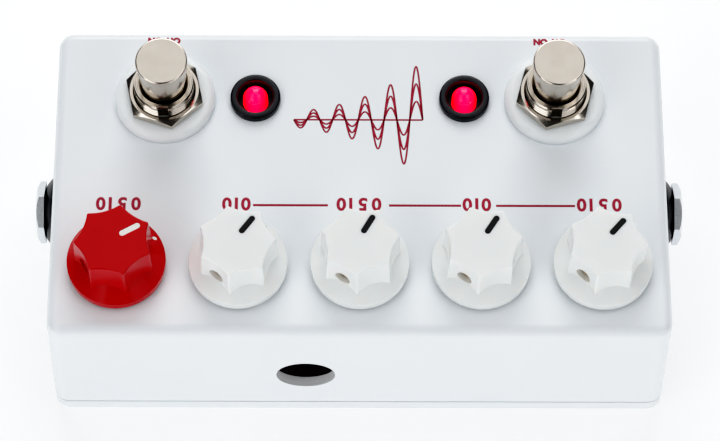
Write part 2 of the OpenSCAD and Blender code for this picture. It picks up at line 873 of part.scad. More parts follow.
// A contact blade along the channel's side, with a lug out through the body and a pin up to the board.
module jack_contacts() {
  blade_y = -channel_w / 2;
  lug_end = main_back - jack_y - contact_pin_inset;
  pin_top = main_under - jack_z;
  color(BRASS) for (side = SIDES, p = contact_places) at_jack(side) mirror([side > 0 ? 1 : 0, 0, 0])
    translate([0, 0, -wall - jack_flange_h - p - contact_len]) {
      translate([-contact_h / 2, blade_y, 0]) cube([contact_h, contact_t, contact_len]);
      translate([-contact_t / 2, lug_end, (contact_len - contact_lug) / 2])
        cube([contact_t, blade_y - lug_end + contact_t / 2, contact_lug]);
      translate([-contact_t / 2, lug_end, (contact_len - contact_lug) / 2])
        cube([pin_top + contact_t / 2, contact_t, contact_lug]);
    }
}

// Power socket

dc_front = -body_d / 2 + wall + dc_setback;
dc_back = 4;
dc_bore_len = dc_body[1] - dc_back;
dc_pin_setback = 1;

module dc_socket_body() {
  color(BLACK) translate([dc_x, dc_front, 0]) difference() {
    translate([-dc_body[0] / 2, 0, main_under - dc_body[2]]) cube(dc_body);
    translate([0, -1, dc_z]) rotate([-90, 0, 0]) cylinder(d = dc_bore_d, h = dc_bore_len + 1);
  }
}

module dc_socket_pin() {
  tip = dc_pin_d / 4;
  straight = dc_bore_len - dc_pin_setback - tip;
  color(NICKEL) translate([dc_x, dc_front + dc_bore_len, dc_z]) rotate([90, 0, 0]) {
    cylinder(d = dc_pin_d, h = straight);
    translate([0, 0, straight]) cylinder(d1 = dc_pin_d, d2 = dc_pin_d - 2 * tip, h = tip);
  }
}

// Boards and what they carry

module main_board() {
  color(BOARD) translate([-main_board_w / 2, main_front, main_under])
    cube([main_board_w, main_back - main_front, board_t]);
}

module switch_board() {
  slot = [lug_w + 2 * lug_slot_gap, lug_t + 2 * lug_slot_gap, 3 * lug_len];
  color(BOARD) difference() {
    translate([-switch_board_w / 2, switch_y - switch_board_d / 2, switch_board_top - board_t])
      cube([switch_board_w, switch_board_d, board_t]);
    at_lugs() cube(slot, center = true);
  }
}

ARC_STEPS = 6;
function arc(c, r, from, to) = [
  for (k = [0 : ARC_STEPS]) let (a = from + (to - from) * k / ARC_STEPS) c + r * [cos(a), sin(a)]
];

// The ribbon stands up from the switch board, runs across and turns up into the main board.
module ribbon_cable() {
  half = ribbon_t / 2;
  start_inset = 2;
  end_inset = 3;
  start_y = switch_y - switch_board_d / 2 + start_inset;
  end_y = main_back - end_inset;
  run_z = main_under - ribbon_bend;
  low_c = [start_y - ribbon_bend, run_z - ribbon_bend];
  high_c = [end_y + ribbon_bend, main_under];
  color(RIBBON) rotate([90, 0, 90]) linear_extrude(ribbon_w, center = true) polygon(concat(
    [[start_y + half, switch_board_top]],
    arc(low_c, ribbon_bend + half, 0, 90),
    arc(high_c, ribbon_bend - half, 270, 180),
    arc(high_c, ribbon_bend + half, 180, 270),
    arc(low_c, ribbon_bend - half, 90, 0),
    [[start_y - half, switch_board_top]]
  ));
}

// Pieces under the main board hang from its lower face, so z = 0 is that face and -Z is down.
// Three rows: chips and tall capacitors in front, resistors in the middle, capacitors and resistors behind.
chip_depth = chip_w + 2 * leg_t;
front_row = main_front + front_row_inset;
back_row = main_back - back_row_inset;
middle_row = (front_row + chip_depth / 2 + back_row - resistor_d / 2) / 2;
board_left = -main_board_w / 2 + board_gap;
board_right = main_board_w / 2 - board_gap;
socket_left = dc_x - dc_body[0] / 2 - board_gap;
socket_right = dc_x + dc_body[0] / 2 + board_gap;
ribbon_side = ribbon_w / 2 + board_gap;
regulator_x = socket_right + regulator_d / 2;
delay_chip_x = regulator_x + regulator_d / 2 + board_gap + chip_len(16) / 2;
function chip_len(legs) = legs / 2 * leg_pitch - leg_w;
// The middle of cell k when a stretch of a row is shared out into n equal cells.
function cell(from, to, n, k) = from + (to - from) * (k + 0.5) / n;

module under_board(x, y) {
  translate([x, y, main_under]) children();
}

module dual_inline(legs) {
  body = [chip_len(legs), chip_w, chip_h];
  leg = [leg_w, leg_t, chip_lift + chip_h / 2];
  translate([-body[0] / 2, -body[1] / 2, -chip_lift - chip_h]) cube(body);
  for (k = [0 : legs / 2 - 1], s = SIDES)
    translate([(k - legs / 4 + 0.5) * leg_pitch, s * (chip_w + leg_t) / 2, -leg[2] / 2])
      cube(leg, center = true);
}

module delay_chip() {
  color(BLACK) under_board(delay_chip_x, front_row) dual_inline(16);
}

module op_amp_chips() {
  color(BLACK) for (k = [0, 1]) under_board(cell(board_left, socket_left, 2, k), front_row) dual_inline(8);
}

// A half-round case on three leads.
module voltage_regulator() {
  r = regulator_d / 2;
  color(BLACK) under_board(regulator_x, front_row) {
    difference() {
      translate([0, 0, -lead_lift - regulator_d]) cylinder(d = regulator_d, h = regulator_d);
      translate([-regulator_d, r / 2, -3 * regulator_d]) cube([2 * regulator_d, r, 4 * regulator_d]);
    }
    for (k = [-1 : 1])
      translate([k * leg_pitch / 2, 0, -lead_lift / 2]) cube([lead_d, lead_d, lead_lift], center = true);
  }
}

module electrolytic_capacitors() {
  from = delay_chip_x + chip_len(16) / 2 + board_gap;
  color(SLEEVE) for (k = [0 : 3]) under_board(cell(from, board_right, 4, k), front_row)
    translate([0, 0, -can_h]) cylinder(d = can_d, h = can_h);
}

module film_capacitor() {
  translate([0, 0, -film_size[2] / 2]) cube(film_size, center = true);
}

module film_capacitors() {
  color(FILM) for (k = [0, 2]) {
    under_board(cell(board_left, socket_left, 3, k), back_row) film_capacitor();
    under_board(cell(ribbon_side, board_right, 4, k), back_row) film_capacitor();
  }
}

// An axial resistor lying along X on two bent leads.
module resistor() {
  span = resistor_len + 2 * lead_reach;
  drop = resistor_d / 2 + resistor_lift;
  translate([0, 0, -drop]) rotate([0, 90, 0]) {
    cylinder(d = resistor_d, h = resistor_len, center = true);
    cylinder(d = lead_d, h = span + lead_d, center = true);
  }
  for (s = SIDES) translate([s * span / 2, 0, -drop]) cylinder(d = lead_d, h = drop);
}

module resistors() {
  color(CARBON) {
    for (k = [0 : 2]) under_board(cell(board_left, socket_left, 3, k), middle_row) resistor();
    for (k = [0 : 4]) under_board(cell(socket_right, board_right, 5, k), middle_row) resistor();
    under_board(cell(board_left, socket_left, 3, 1), back_row) resistor();
    for (k = [1, 3]) under_board(cell(ribbon_side, board_right, 4, k), back_row) resistor();
  }
}

enclosure();
bottom_lid();
lid_screws();
for (i = KNOBS) {
  knob(i);
  pointer(i);
  insert(i);
  shaft(i);
  pot_case(i);
}
pot_nuts();
pot_washers();
for (name = ["left", "right"]) {
  plunger(name);
  spring(name);
  switch_bush(name);
  switch_body(name);
}
switch_nuts();
nylon_washers();
switch_lugs();
led_bezels();
leds();
jack_bushes();
jack_washers();
jack_nuts();
jack_bodies();
jack_contacts();
dc_socket_body();
dc_socket_pin();
main_board();
switch_board();
ribbon_cable();
delay_chip();
op_amp_chips();
voltage_regulator();
electrolytic_capacitors();
film_capacitors();
resistors();
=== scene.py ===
# Delay pedal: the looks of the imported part, in metres, with +Z up and the power socket in the -Y wall.
import math

import bmesh
import bpy
from mathutils import Matrix, Vector


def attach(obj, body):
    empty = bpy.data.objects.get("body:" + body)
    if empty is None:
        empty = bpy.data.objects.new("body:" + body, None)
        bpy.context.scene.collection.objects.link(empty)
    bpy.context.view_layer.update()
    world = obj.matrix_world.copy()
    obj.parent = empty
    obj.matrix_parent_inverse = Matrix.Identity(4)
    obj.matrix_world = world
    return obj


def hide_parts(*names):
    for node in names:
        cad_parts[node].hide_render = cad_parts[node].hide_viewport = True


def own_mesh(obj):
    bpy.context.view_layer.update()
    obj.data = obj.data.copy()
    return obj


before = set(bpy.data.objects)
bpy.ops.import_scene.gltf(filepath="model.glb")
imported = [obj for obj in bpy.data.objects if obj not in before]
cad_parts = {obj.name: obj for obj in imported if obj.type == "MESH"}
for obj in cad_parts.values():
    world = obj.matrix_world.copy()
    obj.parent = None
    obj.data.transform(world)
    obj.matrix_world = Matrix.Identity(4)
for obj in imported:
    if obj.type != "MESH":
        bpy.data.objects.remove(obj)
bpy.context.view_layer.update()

# Studio: a matt white table in a ring of softboxes, the strongest behind the pedal, with low strips around.
# The camera stands on the power socket's side and looks down at about 65 degrees, for a 720 x 441 picture.
mm = 0.001
table_size = 8
light_aim = (0, 0, 35 * mm)
camera_place = (-3.2 * mm, -263.9 * mm, 577.5 * mm)
camera_heading, camera_down, camera_roll = -0.73, 64.66, 0.83
tone_points = [
    (0.02, 0.002), (0.04, 0.008), (0.08, 0.042), (0.2, 0.17), (0.4, 0.4), (0.6, 0.63), (0.8, 0.84)]
# A Mix node gives its sockets the same names for each kind of value, so its colour sockets go by number.
mix_by, mix_from, mix_to, mixed = 0, 6, 7, 2


def srgb(text):
    """A hex colour as linear red, green, blue and alpha."""
    parts = [int(text[i:i + 2], 16) / 255 for i in (0, 2, 4)]
    return [p / 12.92 if p <= 0.04045 else ((p + 0.055) / 1.055) ** 2.4 for p in parts] + [1]


def add_node(tree, kind, inputs={}, **settings):
    """Adds a shader node; an input is a value, or the output of another node to link from."""
    node = tree.nodes.new("ShaderNode" + kind)
    for name, value in settings.items():
        setattr(node, name, value)
    for name, value in inputs.items():
        if isinstance(value, bpy.types.NodeSocket):
            tree.links.new(value, node.inputs[name])
        else:
            node.inputs[name].default_value = value
    return node


def new_material(name):
    """An empty node material, its tree to add nodes to, and the place on the piece that patterns read."""
    material = bpy.data.materials.new(name)
    material.use_nodes = True
    material.node_tree.nodes.clear()
    place = add_node(material.node_tree, "TexCoord").outputs["Object"]
    return material, material.node_tree, place


# White table laminate: matt, evenly lit from below as a light table is, with a faint mottle.
laminate, tree, place = new_material("table_laminate_white")
mottle = add_node(tree, "TexNoise", {"Vector": place, "Scale": 1 / (40 * mm), "Detail": 2})
white = add_node(tree, "Mix", {
    mix_by: mottle.outputs["Fac"], mix_from: srgb("E9EAEB"), mix_to: srgb("EEEFF0")}, data_type="RGBA")
shader = add_node(tree, "BsdfPrincipled", {
    "Base Color": white.outputs[mixed], "Roughness": 0.8,
    "Emission Color": srgb("FAFBFC"), "Emission Strength": 0.37})
add_node(tree, "OutputMaterial", {"Surface": shader.outputs["BSDF"]})

bpy.ops.object.select_all(action="DESELECT")
bpy.ops.mesh.primitive_plane_add(size=table_size)
table = bpy.context.active_object
table.name = "table"
table.data.materials.append(laminate)


def softbox(name, place, size, power):
    """An area light at a place, turned to face the pedal."""
    bpy.ops.object.light_add(type="AREA", location=place)
    light = bpy.context.active_object
    light.name = name
    light.rotation_euler = (Vector(light_aim) - Vector(place)).to_track_quat("-Z", "Y").to_euler()
    light.data.shape = "RECTANGLE"
    light.data.size, light.data.size_y = size
    light.data.energy = power
    light.visible_camera = False


panel_size, strip_size = (0.6, 0.5), (0.7, 0.14)
softbox("softbox_top", (0, 0.38, 0.851), panel_size, 0.87)
softbox("softbox_top_left", (-0.45, 0, 0.814), panel_size, 1.12)
softbox("softbox_top_right", (0.45, 0, 0.814), panel_size, 1.38)
softbox("softbox_back", (0, 0.737, 0.551), panel_size, 3.5)
softbox("softbox_left", (-0.488, -0.488, 0.614), panel_size, 1.54)
softbox("softbox_right", (0.488, -0.488, 0.614), panel_size, 0.74)
softbox("strip_front", (0, -0.897, 0.113), strip_size, 0.24)
softbox("strip_front_left", (-0.6, -0.666, 0.113), strip_size, 1.13)
softbox("strip_front_right", (0.6, -0.666, 0.113), strip_size, 1.18)
softbox("strip_back", (0, 0.886, 0.191), strip_size, 0.3)

world = bpy.data.worlds.new("studio_room")
bpy.context.scene.world = world
world.use_nodes = True
world.node_tree.nodes.clear()
room = add_node(world.node_tree, "Background", {"Color": srgb("E4E8EC"), "Strength": 0.08})
add_node(world.node_tree, "OutputWorld", {"Surface": room.outputs["Background"]})

# The picture is developed with firm contrast: shadows are pressed down and the whites keep their shape.
view = bpy.context.scene.view_settings
view.view_transform = "Standard"
view.use_curve_mapping = True
tone_curve = view.curve_mapping.curves[3]
for lit, shown in tone_points:
    tone_curve.points.new(lit, shown)
tone_curve.points[-1].location = (1, 0.97)
view.curve_mapping.update()

bpy.ops.object.camera_add()
camera = bpy.context.active_object
camera.data.sensor_width = 36
camera.data.sensor_fit = "HORIZONTAL"
camera.data.lens = 152.05
camera.data.clip_start = 0.01
camera.matrix_world = (
    Matrix.Translation(camera_place)
    @ Matrix.Rotation(math.radians(camera_heading), 4, "Z")
    @ Matrix.Rotation(math.radians(90 - camera_down), 4, "X")
    @ Matrix.Rotation(math.radians(camera_roll), 4, "Z")
)
bpy.context.scene.camera = camera

# Enclosure: a die-cast aluminium box, open below, with a boss in each corner for the lid's screws.
# It is drilled for the controls, the jacks and the power plug, then coated with white powder and baked.
body_w, body_d = 121 * mm, 66 * mm
seam_z, panel_z = 4 * mm, 39.3 * mm
wall = 2 * mm
corner_r, edge_r, seam_break = 3 * mm, 2 * mm, 0.25 * mm
end_draft = 1.2 * mm
boss_r, screw_inset = 3.6 * mm, 5 * mm
bosses = [(sx, sy) for sx in (-1, 1) for sy in (-1, 1)]
boss_x, boss_y = body_w / 2 - screw_inset, body_d / 2 - screw_inset
knob_xs, knob_y = [-47.2 * mm, -23.6 * mm, 0, 23.6 * mm, 47.2 * mm], -18.8 * mm
switch_x, lamp_x, switch_y = 38.8 * mm, 20.8 * mm, 17.6 * mm
jack_y, jack_z, jack_washer_r = 1 * mm, 21.5 * mm, 7.5 * mm
plug_x, plug_z, plug_r = -10.6 * mm, 18 * mm, 5.85 * mm
pot_hole_r, switch_hole_r, lamp_hole_r, jack_hole_r = 3.9 * mm, 6.15 * mm, 4.25 * mm, 4.65 * mm
jack_seat_gap = 0.15 * mm
screw_hole_r, screw_hole_top = 1.53 * mm, 15 * mm
# Room for rounding where edges are picked by their height, and the gap across which cut points merge.
hair, weld = 0.01 * mm, 0.003 * mm


def named(name):
    """Names the object that an operator has just added."""
    piece = bpy.context.active_object
    piece.name = piece.data.name = name
    return piece


def block(name, low, high):
    """A cube drawn out to two opposite corners."""
    low, high = Vector(low), Vector(high)
    bpy.ops.object.select_all(action="DESELECT")
    bpy.ops.mesh.primitive_cube_add(size=1, location=(low + high) / 2, scale=high - low)
    bpy.ops.object.transform_apply(location=True, rotation=True, scale=True)
    return named(name)


def rod(start, end, radius, sides=64):
    """A cylinder from one point to another, to drill or to join with."""
    start, end = Vector(start), Vector(end)
    turn = (end - start).to_track_quat("Z", "Y").to_euler()
    bpy.ops.object.select_all(action="DESELECT")
    bpy.ops.mesh.primitive_cylinder_add(
        vertices=sides, radius=radius, depth=(end - start).length,
        location=(start + end) / 2, rotation=turn)
    bpy.ops.object.transform_apply(location=True, rotation=True, scale=True)
    return named("rod")


def pick(kind, test):
    """Selects the vertices, edges or faces in edit mode whose middle and direction pass a test."""
    bpy.ops.mesh.select_mode(type=kind)
    bpy.ops.mesh.select_all(action="DESELECT")
    mesh = bmesh.from_edit_mesh(bpy.context.edit_object.data)
    if kind == "VERT":
        chosen = [v for v in mesh.verts if test(v.co, v.normal)]
    elif kind == "EDGE":
        ends = [(e, e.verts[0].co, e.verts[1].co) for e in mesh.edges]
        chosen = [e for e, a, b in ends if test((a + b) / 2, (b - a).normalized())]
    else:
        chosen = [f for f in mesh.faces if test(f.calc_center_median(), f.normal)]
    for part in chosen:
        part.select_set(True)
    mesh.select_flush_mode()
    bmesh.update_edit_mesh(bpy.context.edit_object.data)


def cut(piece, tool, operation="DIFFERENCE"):
    """Cuts a piece with a tool solid, or joins the two, and merges the points that all but meet."""
    step = piece.modifiers.new("cut", "BOOLEAN")
    step.operation = operation
    step.object = tool
    step.solver = "EXACT"
    bpy.ops.object.select_all(action="DESELECT")
    bpy.context.view_layer.objects.active = piece
    bpy.ops.object.modifier_apply(modifier=step.name)
    bpy.data.objects.remove(tool)
    bpy.ops.object.mode_set(mode="EDIT")
    bpy.ops.mesh.select_all(action="SELECT")
    bpy.ops.mesh.remove_doubles(threshold=weld)
    bpy.ops.object.mode_set(mode="OBJECT")


def take(piece):
    """Selects one piece alone and makes it the active one."""
    bpy.ops.object.select_all(action="DESELECT")
    piece.select_set(True)
    bpy.context.view_layer.objects.active = piece


def smooth(piece, angle=35):
    """Shades a piece smooth up to an angle, with its flat faces kept flat."""
    take(piece)
    bpy.ops.object.shade_smooth_by_angle(angle=math.radians(angle))
    step = piece.modifiers.new("weighted", "WEIGHTED_NORMAL")
    step.keep_sharp = True
    bpy.ops.object.modifier_apply(modifier=step.name)


def room_inside(low_z, high_z):
    """The space between the walls, less the corner bosses."""
    half_w, half_d = body_w / 2 - wall, body_d / 2 - wall
    space = block("space", (-half_w, -half_d, low_z), (half_w, half_d, high_z))
    for sx, sy in bosses:
        x, y = sx * boss_x, sy * boss_y
        cut(space, rod((x, y, low_z - wall), (x, y, high_z + wall), boss_r))
        outer = (x + sx * screw_inset, y + sy * screw_inset)
        cut(space, block("corner", (min(x, outer[0]), min(y, outer[1]), low_z - wall),
                         (max(x, outer[0]), max(y, outer[1]), high_z + wall)))
    return space


enclosure = block(
    "enclosure_casting", (-body_w / 2, -body_d / 2, seam_z), (body_w / 2, body_d / 2, panel_z))
bpy.ops.object.mode_set(mode="EDIT")
pick("VERT", lambda place, normal: place.z < seam_z + hair)
bpy.ops.transform.resize(value=(1 + 2 * end_draft / body_w, 1, 1), center_override=(0, 0, seam_z))
pick("EDGE", lambda middle, along: abs(along.z) > 0.9)
bpy.ops.mesh.bevel(offset=corner_r, segments=8, affect="EDGES")
pick("EDGE", lambda middle, along: middle.z > panel_z - hair)
bpy.ops.mesh.bevel(offset=edge_r, segments=7, affect="EDGES")
pick("EDGE", lambda middle, along: middle.z < seam_z + hair)
bpy.ops.mesh.bevel(offset=seam_break, segments=2, affect="EDGES")
bpy.ops.object.mode_set(mode="OBJECT")
cut(enclosure, room_inside(seam_z - wall, panel_z - wall))
drills = [(x, knob_y, pot_hole_r) for x in knob_xs]
drills += [(side * switch_x, switch_y, switch_hole_r) for side in (-1, 1)]
drills += [(side * lamp_x, switch_y, lamp_hole_r) for side in (-1, 1)]
for x, y, radius in drills:
    cut(enclosure, rod((x, y, panel_z - 2 * wall), (x, y, panel_z + wall), radius))
for side in (-1, 1):
    inner, face, outer = [(side * (body_w / 2 + out), jack_y, jack_z) for out in (-2 * wall, 0, 2 * wall)]
    cut(enclosure, rod(inner, outer, jack_hole_r))
    cut(enclosure, rod(face, outer, jack_washer_r + jack_seat_gap))
for sx, sy in bosses:
    x, y = sx * boss_x, sy * boss_y
    cut(enclosure, rod((x, y, 0), (x, y, screw_hole_top), screw_hole_r, 32))
outer, inner = [(plug_x, out - body_d / 2, plug_z) for out in (-wall, 2 * wall)]
cut(enclosure, rod(outer, inner, plug_r, 96))

# Polyester powder coat: a thick white semi-gloss skin, whose 0.7 mm orange peel softens what it mirrors.
powder_coat, tree, place = new_material("powder_coat_white")
peel = add_node(tree, "TexNoise", {"Vector": place, "Scale": 1 / (0.7 * mm), "Detail": 2})
peel_bump = add_node(tree, "Bump", {"Height": peel.outputs["Fac"], "Strength": 0.25, "Distance": 0.01 * mm})
flow = add_node(tree, "TexNoise", {"Vector": place, "Scale": 1 / (18 * mm), "Detail": 3})
coat = add_node(tree, "Mix", {
    mix_by: flow.outputs["Fac"], mix_from: srgb("EBF0F4"), mix_to: srgb("F0F4F7")}, data_type="RGBA")
gloss = add_node(tree, "MapRange", {"Value": flow.outputs["Fac"], "To Min": 0.2, "To Max": 0.27})
shader = add_node(tree, "BsdfPrincipled", {
    "Base Color": coat.outputs[mixed], "Roughness": gloss.outputs["Result"], "IOR": 1.5,
    "Normal": peel_bump.outputs["Normal"]})
add_node(tree, "OutputMaterial", {"Surface": shader.outputs["BSDF"]})

# Bare die-cast aluminium, where the power hole was drilled through the coat: pale and dull, with drill
# marks round the hole. They are finer than this in the real metal, and drawn coarser to show.
bare_aluminium, tree, place = new_material("bare_aluminium")
marks = add_node(tree, "Mapping", {"Vector": place, "Scale": (0.2, 4, 0.2)})
grain = add_node(tree, "TexNoise", {
    "Vector": marks.outputs["Vector"], "Scale": 1 / (0.8 * mm), "Detail": 3})
metal = add_node(tree, "Mix", {
    mix_by: grain.outputs["Fac"], mix_from: srgb("D4D6D8"), mix_to: srgb("FCFCFD")}, data_type="RGBA")
dull = add_node(tree, "MapRange", {"Value": grain.outputs["Fac"], "To Min": 0.5, "To Max": 0.75})
shader = add_node(tree, "BsdfPrincipled", {
    "Base Color": metal.outputs[mixed], "Metallic": 0.1, "Roughness": dull.outputs["Result"]})
add_node(tree, "OutputMaterial", {"Surface": shader.outputs["BSDF"]})

enclosure.data.materials.clear()
enclosure.data.materials.append(powder_coat)
enclosure.data.materials.append(bare_aluminium)
for face in enclosure.data.polygons:
    to_axis = math.hypot(face.center.x - plug_x, face.center.z - plug_z)
    in_wall = face.center.y < wall - body_d / 2 and abs(face.normal.y) < 0.5
    face.material_index = int(in_wall and to_axis < plug_r + hair)
smooth(enclosure)
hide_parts("enclosure")
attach(enclosure, "pedal")

# Lid: a shallow cast tray that closes the box from below, with ribs that locate it between the walls.
# It has the same coat, meets the box in a thin dark seam and is countersunk for its four screws.
lid_break, lid_floor, rib_top, rib_t, rib_gap = 0.6 * mm, 2.2 * mm, 5.8 * mm, 1.2 * mm, 0.25 * mm
seam_gap, seam_deep = 0.3 * mm, 0.7 * mm
sink_r, sink_low, sink_high = 4.15 * mm, -1 * mm, 1.5 * mm
screw_clear_r, screw_clear_top = 1.65 * mm, 6 * mm


def turned(name, profile, sides=96):
    """A solid of revolution about Z: a circle is drawn out ring by ring along (radius, height) points."""
    bpy.ops.object.select_all(action="DESELECT")
    bpy.ops.mesh.primitive_circle_add(vertices=sides, radius=profile[0][0], location=(0, 0, profile[0][1]))
    piece = named(name)
    bpy.ops.object.transform_apply(location=True, rotation=True, scale=True)
    bpy.ops.object.mode_set(mode="EDIT")
    bpy.ops.mesh.select_all(action="SELECT")
    draw_out(profile)
    return piece


def draw_out(profile):
    """Draws the selected ring out through a profile's other points, and closes the shape."""
    for (r, z), (next_r, next_z) in zip(profile, profile[1:]):
        bpy.ops.mesh.extrude_edges_move(TRANSFORM_OT_translate={"value": (0, 0, next_z - z)})
        bpy.ops.transform.resize(value=(next_r / r, next_r / r, 1), center_override=(0, 0, next_z))
    bpy.ops.mesh.select_all(action="SELECT")
    bpy.ops.mesh.remove_doubles(threshold=0.001 * mm)
    bpy.ops.mesh.fill_holes(sides=0)
    bpy.ops.mesh.select_all(action="SELECT")
    bpy.ops.mesh.normals_make_consistent(inside=False)
    bpy.ops.object.mode_set(mode="OBJECT")


def put(piece, place, turn=(0, 0, 0)):
    """Turns a piece, moves it to its place and applies both to its mesh."""
    piece.location = place
    piece.rotation_euler = [math.radians(a) for a in turn]
    take(piece)
    bpy.ops.object.transform_apply(location=True, rotation=True, scale=True)
    return piece


lid_rim = seam_z - seam_gap
lid_x = body_w / 2 + end_draft
lid = block("lid_casting", (-lid_x, -body_d / 2, 0), (lid_x, body_d / 2, lid_rim))
bpy.ops.object.mode_set(mode="EDIT")
pick("EDGE", lambda middle, along: abs(along.z) > 0.9)
bpy.ops.mesh.bevel(offset=corner_r, segments=8, affect="EDGES")
pick("EDGE", lambda middle, along: middle.z < hair)
bpy.ops.mesh.bevel(offset=lid_break, segments=3, affect="EDGES")
pick("EDGE", lambda middle, along: middle.z > lid_rim - hair)
bpy.ops.mesh.bevel(offset=seam_break, segments=2, affect="EDGES")
pick("FACE", lambda middle, normal: normal.z > 0.99)
bpy.ops.mesh.inset(thickness=seam_deep)
bpy.ops.mesh.extrude_region_move(TRANSFORM_OT_translate={"value": (0, 0, seam_gap)})
bpy.ops.object.mode_set(mode="OBJECT")
cut(lid, room_inside(lid_floor, seam_z + wall))
rib_x, rib_y = body_w / 2 - wall - rib_gap, body_d / 2 - wall - rib_gap
rib_long, rib_short = boss_x - boss_r - rib_gap, boss_y - boss_r - rib_gap
for side in (-1, 1):
    inner, outer = sorted((side * (rib_y - rib_t), side * rib_y))
    cut(lid, block("rib", (-rib_long, inner, lid_floor / 2), (rib_long, outer, rib_top)), "UNION")
    inner, outer = sorted((side * (rib_x - rib_t), side * rib_x))
    cut(lid, block("rib", (inner, -rib_short, lid_floor / 2), (outer, rib_short, rib_top)), "UNION")
sink_profile = [(sink_r, sink_low), (screw_clear_r, sink_high), (screw_clear_r, screw_clear_top)]
for sx, sy in bosses:
    countersink = turned("countersink", sink_profile, 48)
    cut(lid, put(countersink, (sx * boss_x, sy * boss_y, 0)))
lid.data.materials.append(powder_coat)
smooth(lid)
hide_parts("bottom_lid")
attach(lid, "pedal")

# Lid screws: four countersunk cross-head machine screws, driven from below into the corner bosses.
# Zinc-plated steel: a bluish grey shine that is a little cloudy.
zinc_steel, tree, place = new_material("zinc_plated_steel")
cloud = add_node(tree, "TexNoise", {"Vector": place, "Scale": 1 / (1.2 * mm), "Detail": 3})
metal = add_node(tree, "Mix", {
    mix_by: cloud.outputs["Fac"], mix_from: srgb("9EA3AA"), mix_to: srgb("C2C6CB")}, data_type="RGBA")
dull = add_node(tree, "MapRange", {"Value": cloud.outputs["Fac"], "To Min": 0.25, "To Max": 0.42})
shader = add_node(tree, "BsdfPrincipled", {
    "Base Color": metal.outputs[mixed], "Metallic": 1, "Roughness": dull.outputs["Result"]})
add_node(tree, "OutputMaterial", {"Surface": shader.outputs["BSDF"]})


def dress(material, *names):
    """Gives CAD nodes that keep their own shape a finished material."""
    for name in names:
        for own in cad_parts[name].material_slots:
            own.material = material


dress(zinc_steel, "lid_screws")

# Potentiometers: five pressed-steel cases under the panel, each held by a washer and a nut on its bush.
# The turned aluminium shafts stand up through the bushes into the knobs. All of it is plated or bare metal.
# Tin-plated steel: a soft grey shine, with scuffs a few millimetres long from pressing and handling.
plated_steel, tree, place = new_material("tin_plated_steel")
scuff = add_node(tree, "TexNoise", {"Vector": place, "Scale": 1 / (2.5 * mm), "Detail": 4})
metal = add_node(tree, "Mix", {
    mix_by: scuff.outputs["Fac"], mix_from: srgb("A3A3A2"), mix_to: srgb("C9C9C7")}, data_type="RGBA")
dull = add_node(tree, "MapRange", {"Value": scuff.outputs["Fac"], "To Min": 0.3, "To Max": 0.5})
shader = add_node(tree, "BsdfPrincipled", {
    "Base Color": metal.outputs[mixed], "Metallic": 1, "Roughness": dull.outputs["Result"]})
add_node(tree, "OutputMaterial", {"Surface": shader.outputs["BSDF"]})

# Turned aluminium: pale and satin, with tool marks round the shaft about 0.3 mm apart.
# A Wave texture's bands stand this many units apart at scale 1.
wave_scale = 2 * math.pi / 20
turned_aluminium, tree, place = new_material("turned_aluminium")
tool_marks = add_node(tree, "TexWave", {
    "Vector": place, "Scale": wave_scale / (0.3 * mm), "Distortion": 0.5}, bands_direction="Z")
metal = add_node(tree, "Mix", {
    mix_by: tool_marks.outputs["Fac"], mix_from: srgb("BEBFC1"), mix_to: srgb("D2D3D4")}, data_type="RGBA")
shader = add_node(tree, "BsdfPrincipled", {
    "Base Color": metal.outputs[mixed], "Metallic": 1, "Roughness": 0.35})
add_node(tree, "OutputMaterial", {"Surface": shader.outputs["BSDF"]})

# Bright nickel plate: a warm grey mirror, with a haze and fine rubbing that show only in the highlights.
nickel, tree, place = new_material("nickel_plate_bright")
haze = add_node(tree, "TexNoise", {"Vector": place, "Scale": 1 / (3 * mm), "Detail": 4})
metal = add_node(tree, "Mix", {
    mix_by: haze.outputs["Fac"], mix_from: srgb("C6BEB4"), mix_to: srgb("D2CBC2")}, data_type="RGBA")
rubbed = add_node(tree, "MapRange", {"Value": haze.outputs["Fac"], "To Min": 0.1, "To Max": 0.18})
shader = add_node(tree, "BsdfPrincipled", {
    "Base Color": metal.outputs[mixed], "Metallic": 1, "Roughness": rubbed.outputs["Result"]})
add_node(tree, "OutputMaterial", {"Surface": shader.outputs["BSDF"]})

dress(plated_steel, *[f"pot_case_{i}" for i in range(1, 6)], "pot_washers")
dress(turned_aluminium, *[f"shaft_{i}" for i in range(1, 6)])
dress(nickel, "pot_nuts")

# Knobs: injection-moulded caps with a flared skirt and a seven-fluted grip, each on a brass insert with a
# set screw. The first is red and the other four are white. A painted slot on top and a dot on the skirt
# show the setting.
knob_turns = [29.5, 53.5, 60, 57.5, 49]
knob_z = panel_z + 0.7 * mm
knob_h, knob_r, skirt_h, skirt_round = 11 * mm, 9.6 * mm, 1.9 * mm, 0.25 * mm
cone_top_r, cone_top_z = 6.2 * mm, 4.9 * mm
flutes, flute_samples = 7, 48
flute_axis_r, flute_r = 16.81 * mm, 10.42 * mm
ridge_round = 0.57 * mm
grip_foot, grip_spread, top_round = 2.2 * mm, 1.057, 0.32 * mm
mean_grip_r = 7 * mm
set_screw_z, set_screw_r, set_screw_reach = 6.1 * mm, 1.6 * mm, 12 * mm
skirt_bore_r, skirt_bore_top = 7 * mm, 2.7 * mm
insert_r, insert_top = 4.53 * mm, 8.93 * mm
dot_x, dot_r, dot_floor = 8.5 * mm, 0.45 * mm, 2.31 * mm
slot_start, slot_end, slot_right, slot_left = 1.6 * mm, 6 * mm, -0.2 * mm, 1 * mm
slot_deep, slot_round = 0.4 * mm, 0.599 * mm
# A cutter runs this far past what it cuts.
overrun = 1 * mm


def flute_radius(angle):
    """The radius of one leaning hollow, at an angle from its middle."""
    reach = max(flute_r ** 2 - (flute_axis_r * math.sin(angle)) ** 2, 0)
    return flute_axis_r * math.cos(angle) - math.sqrt(reach)


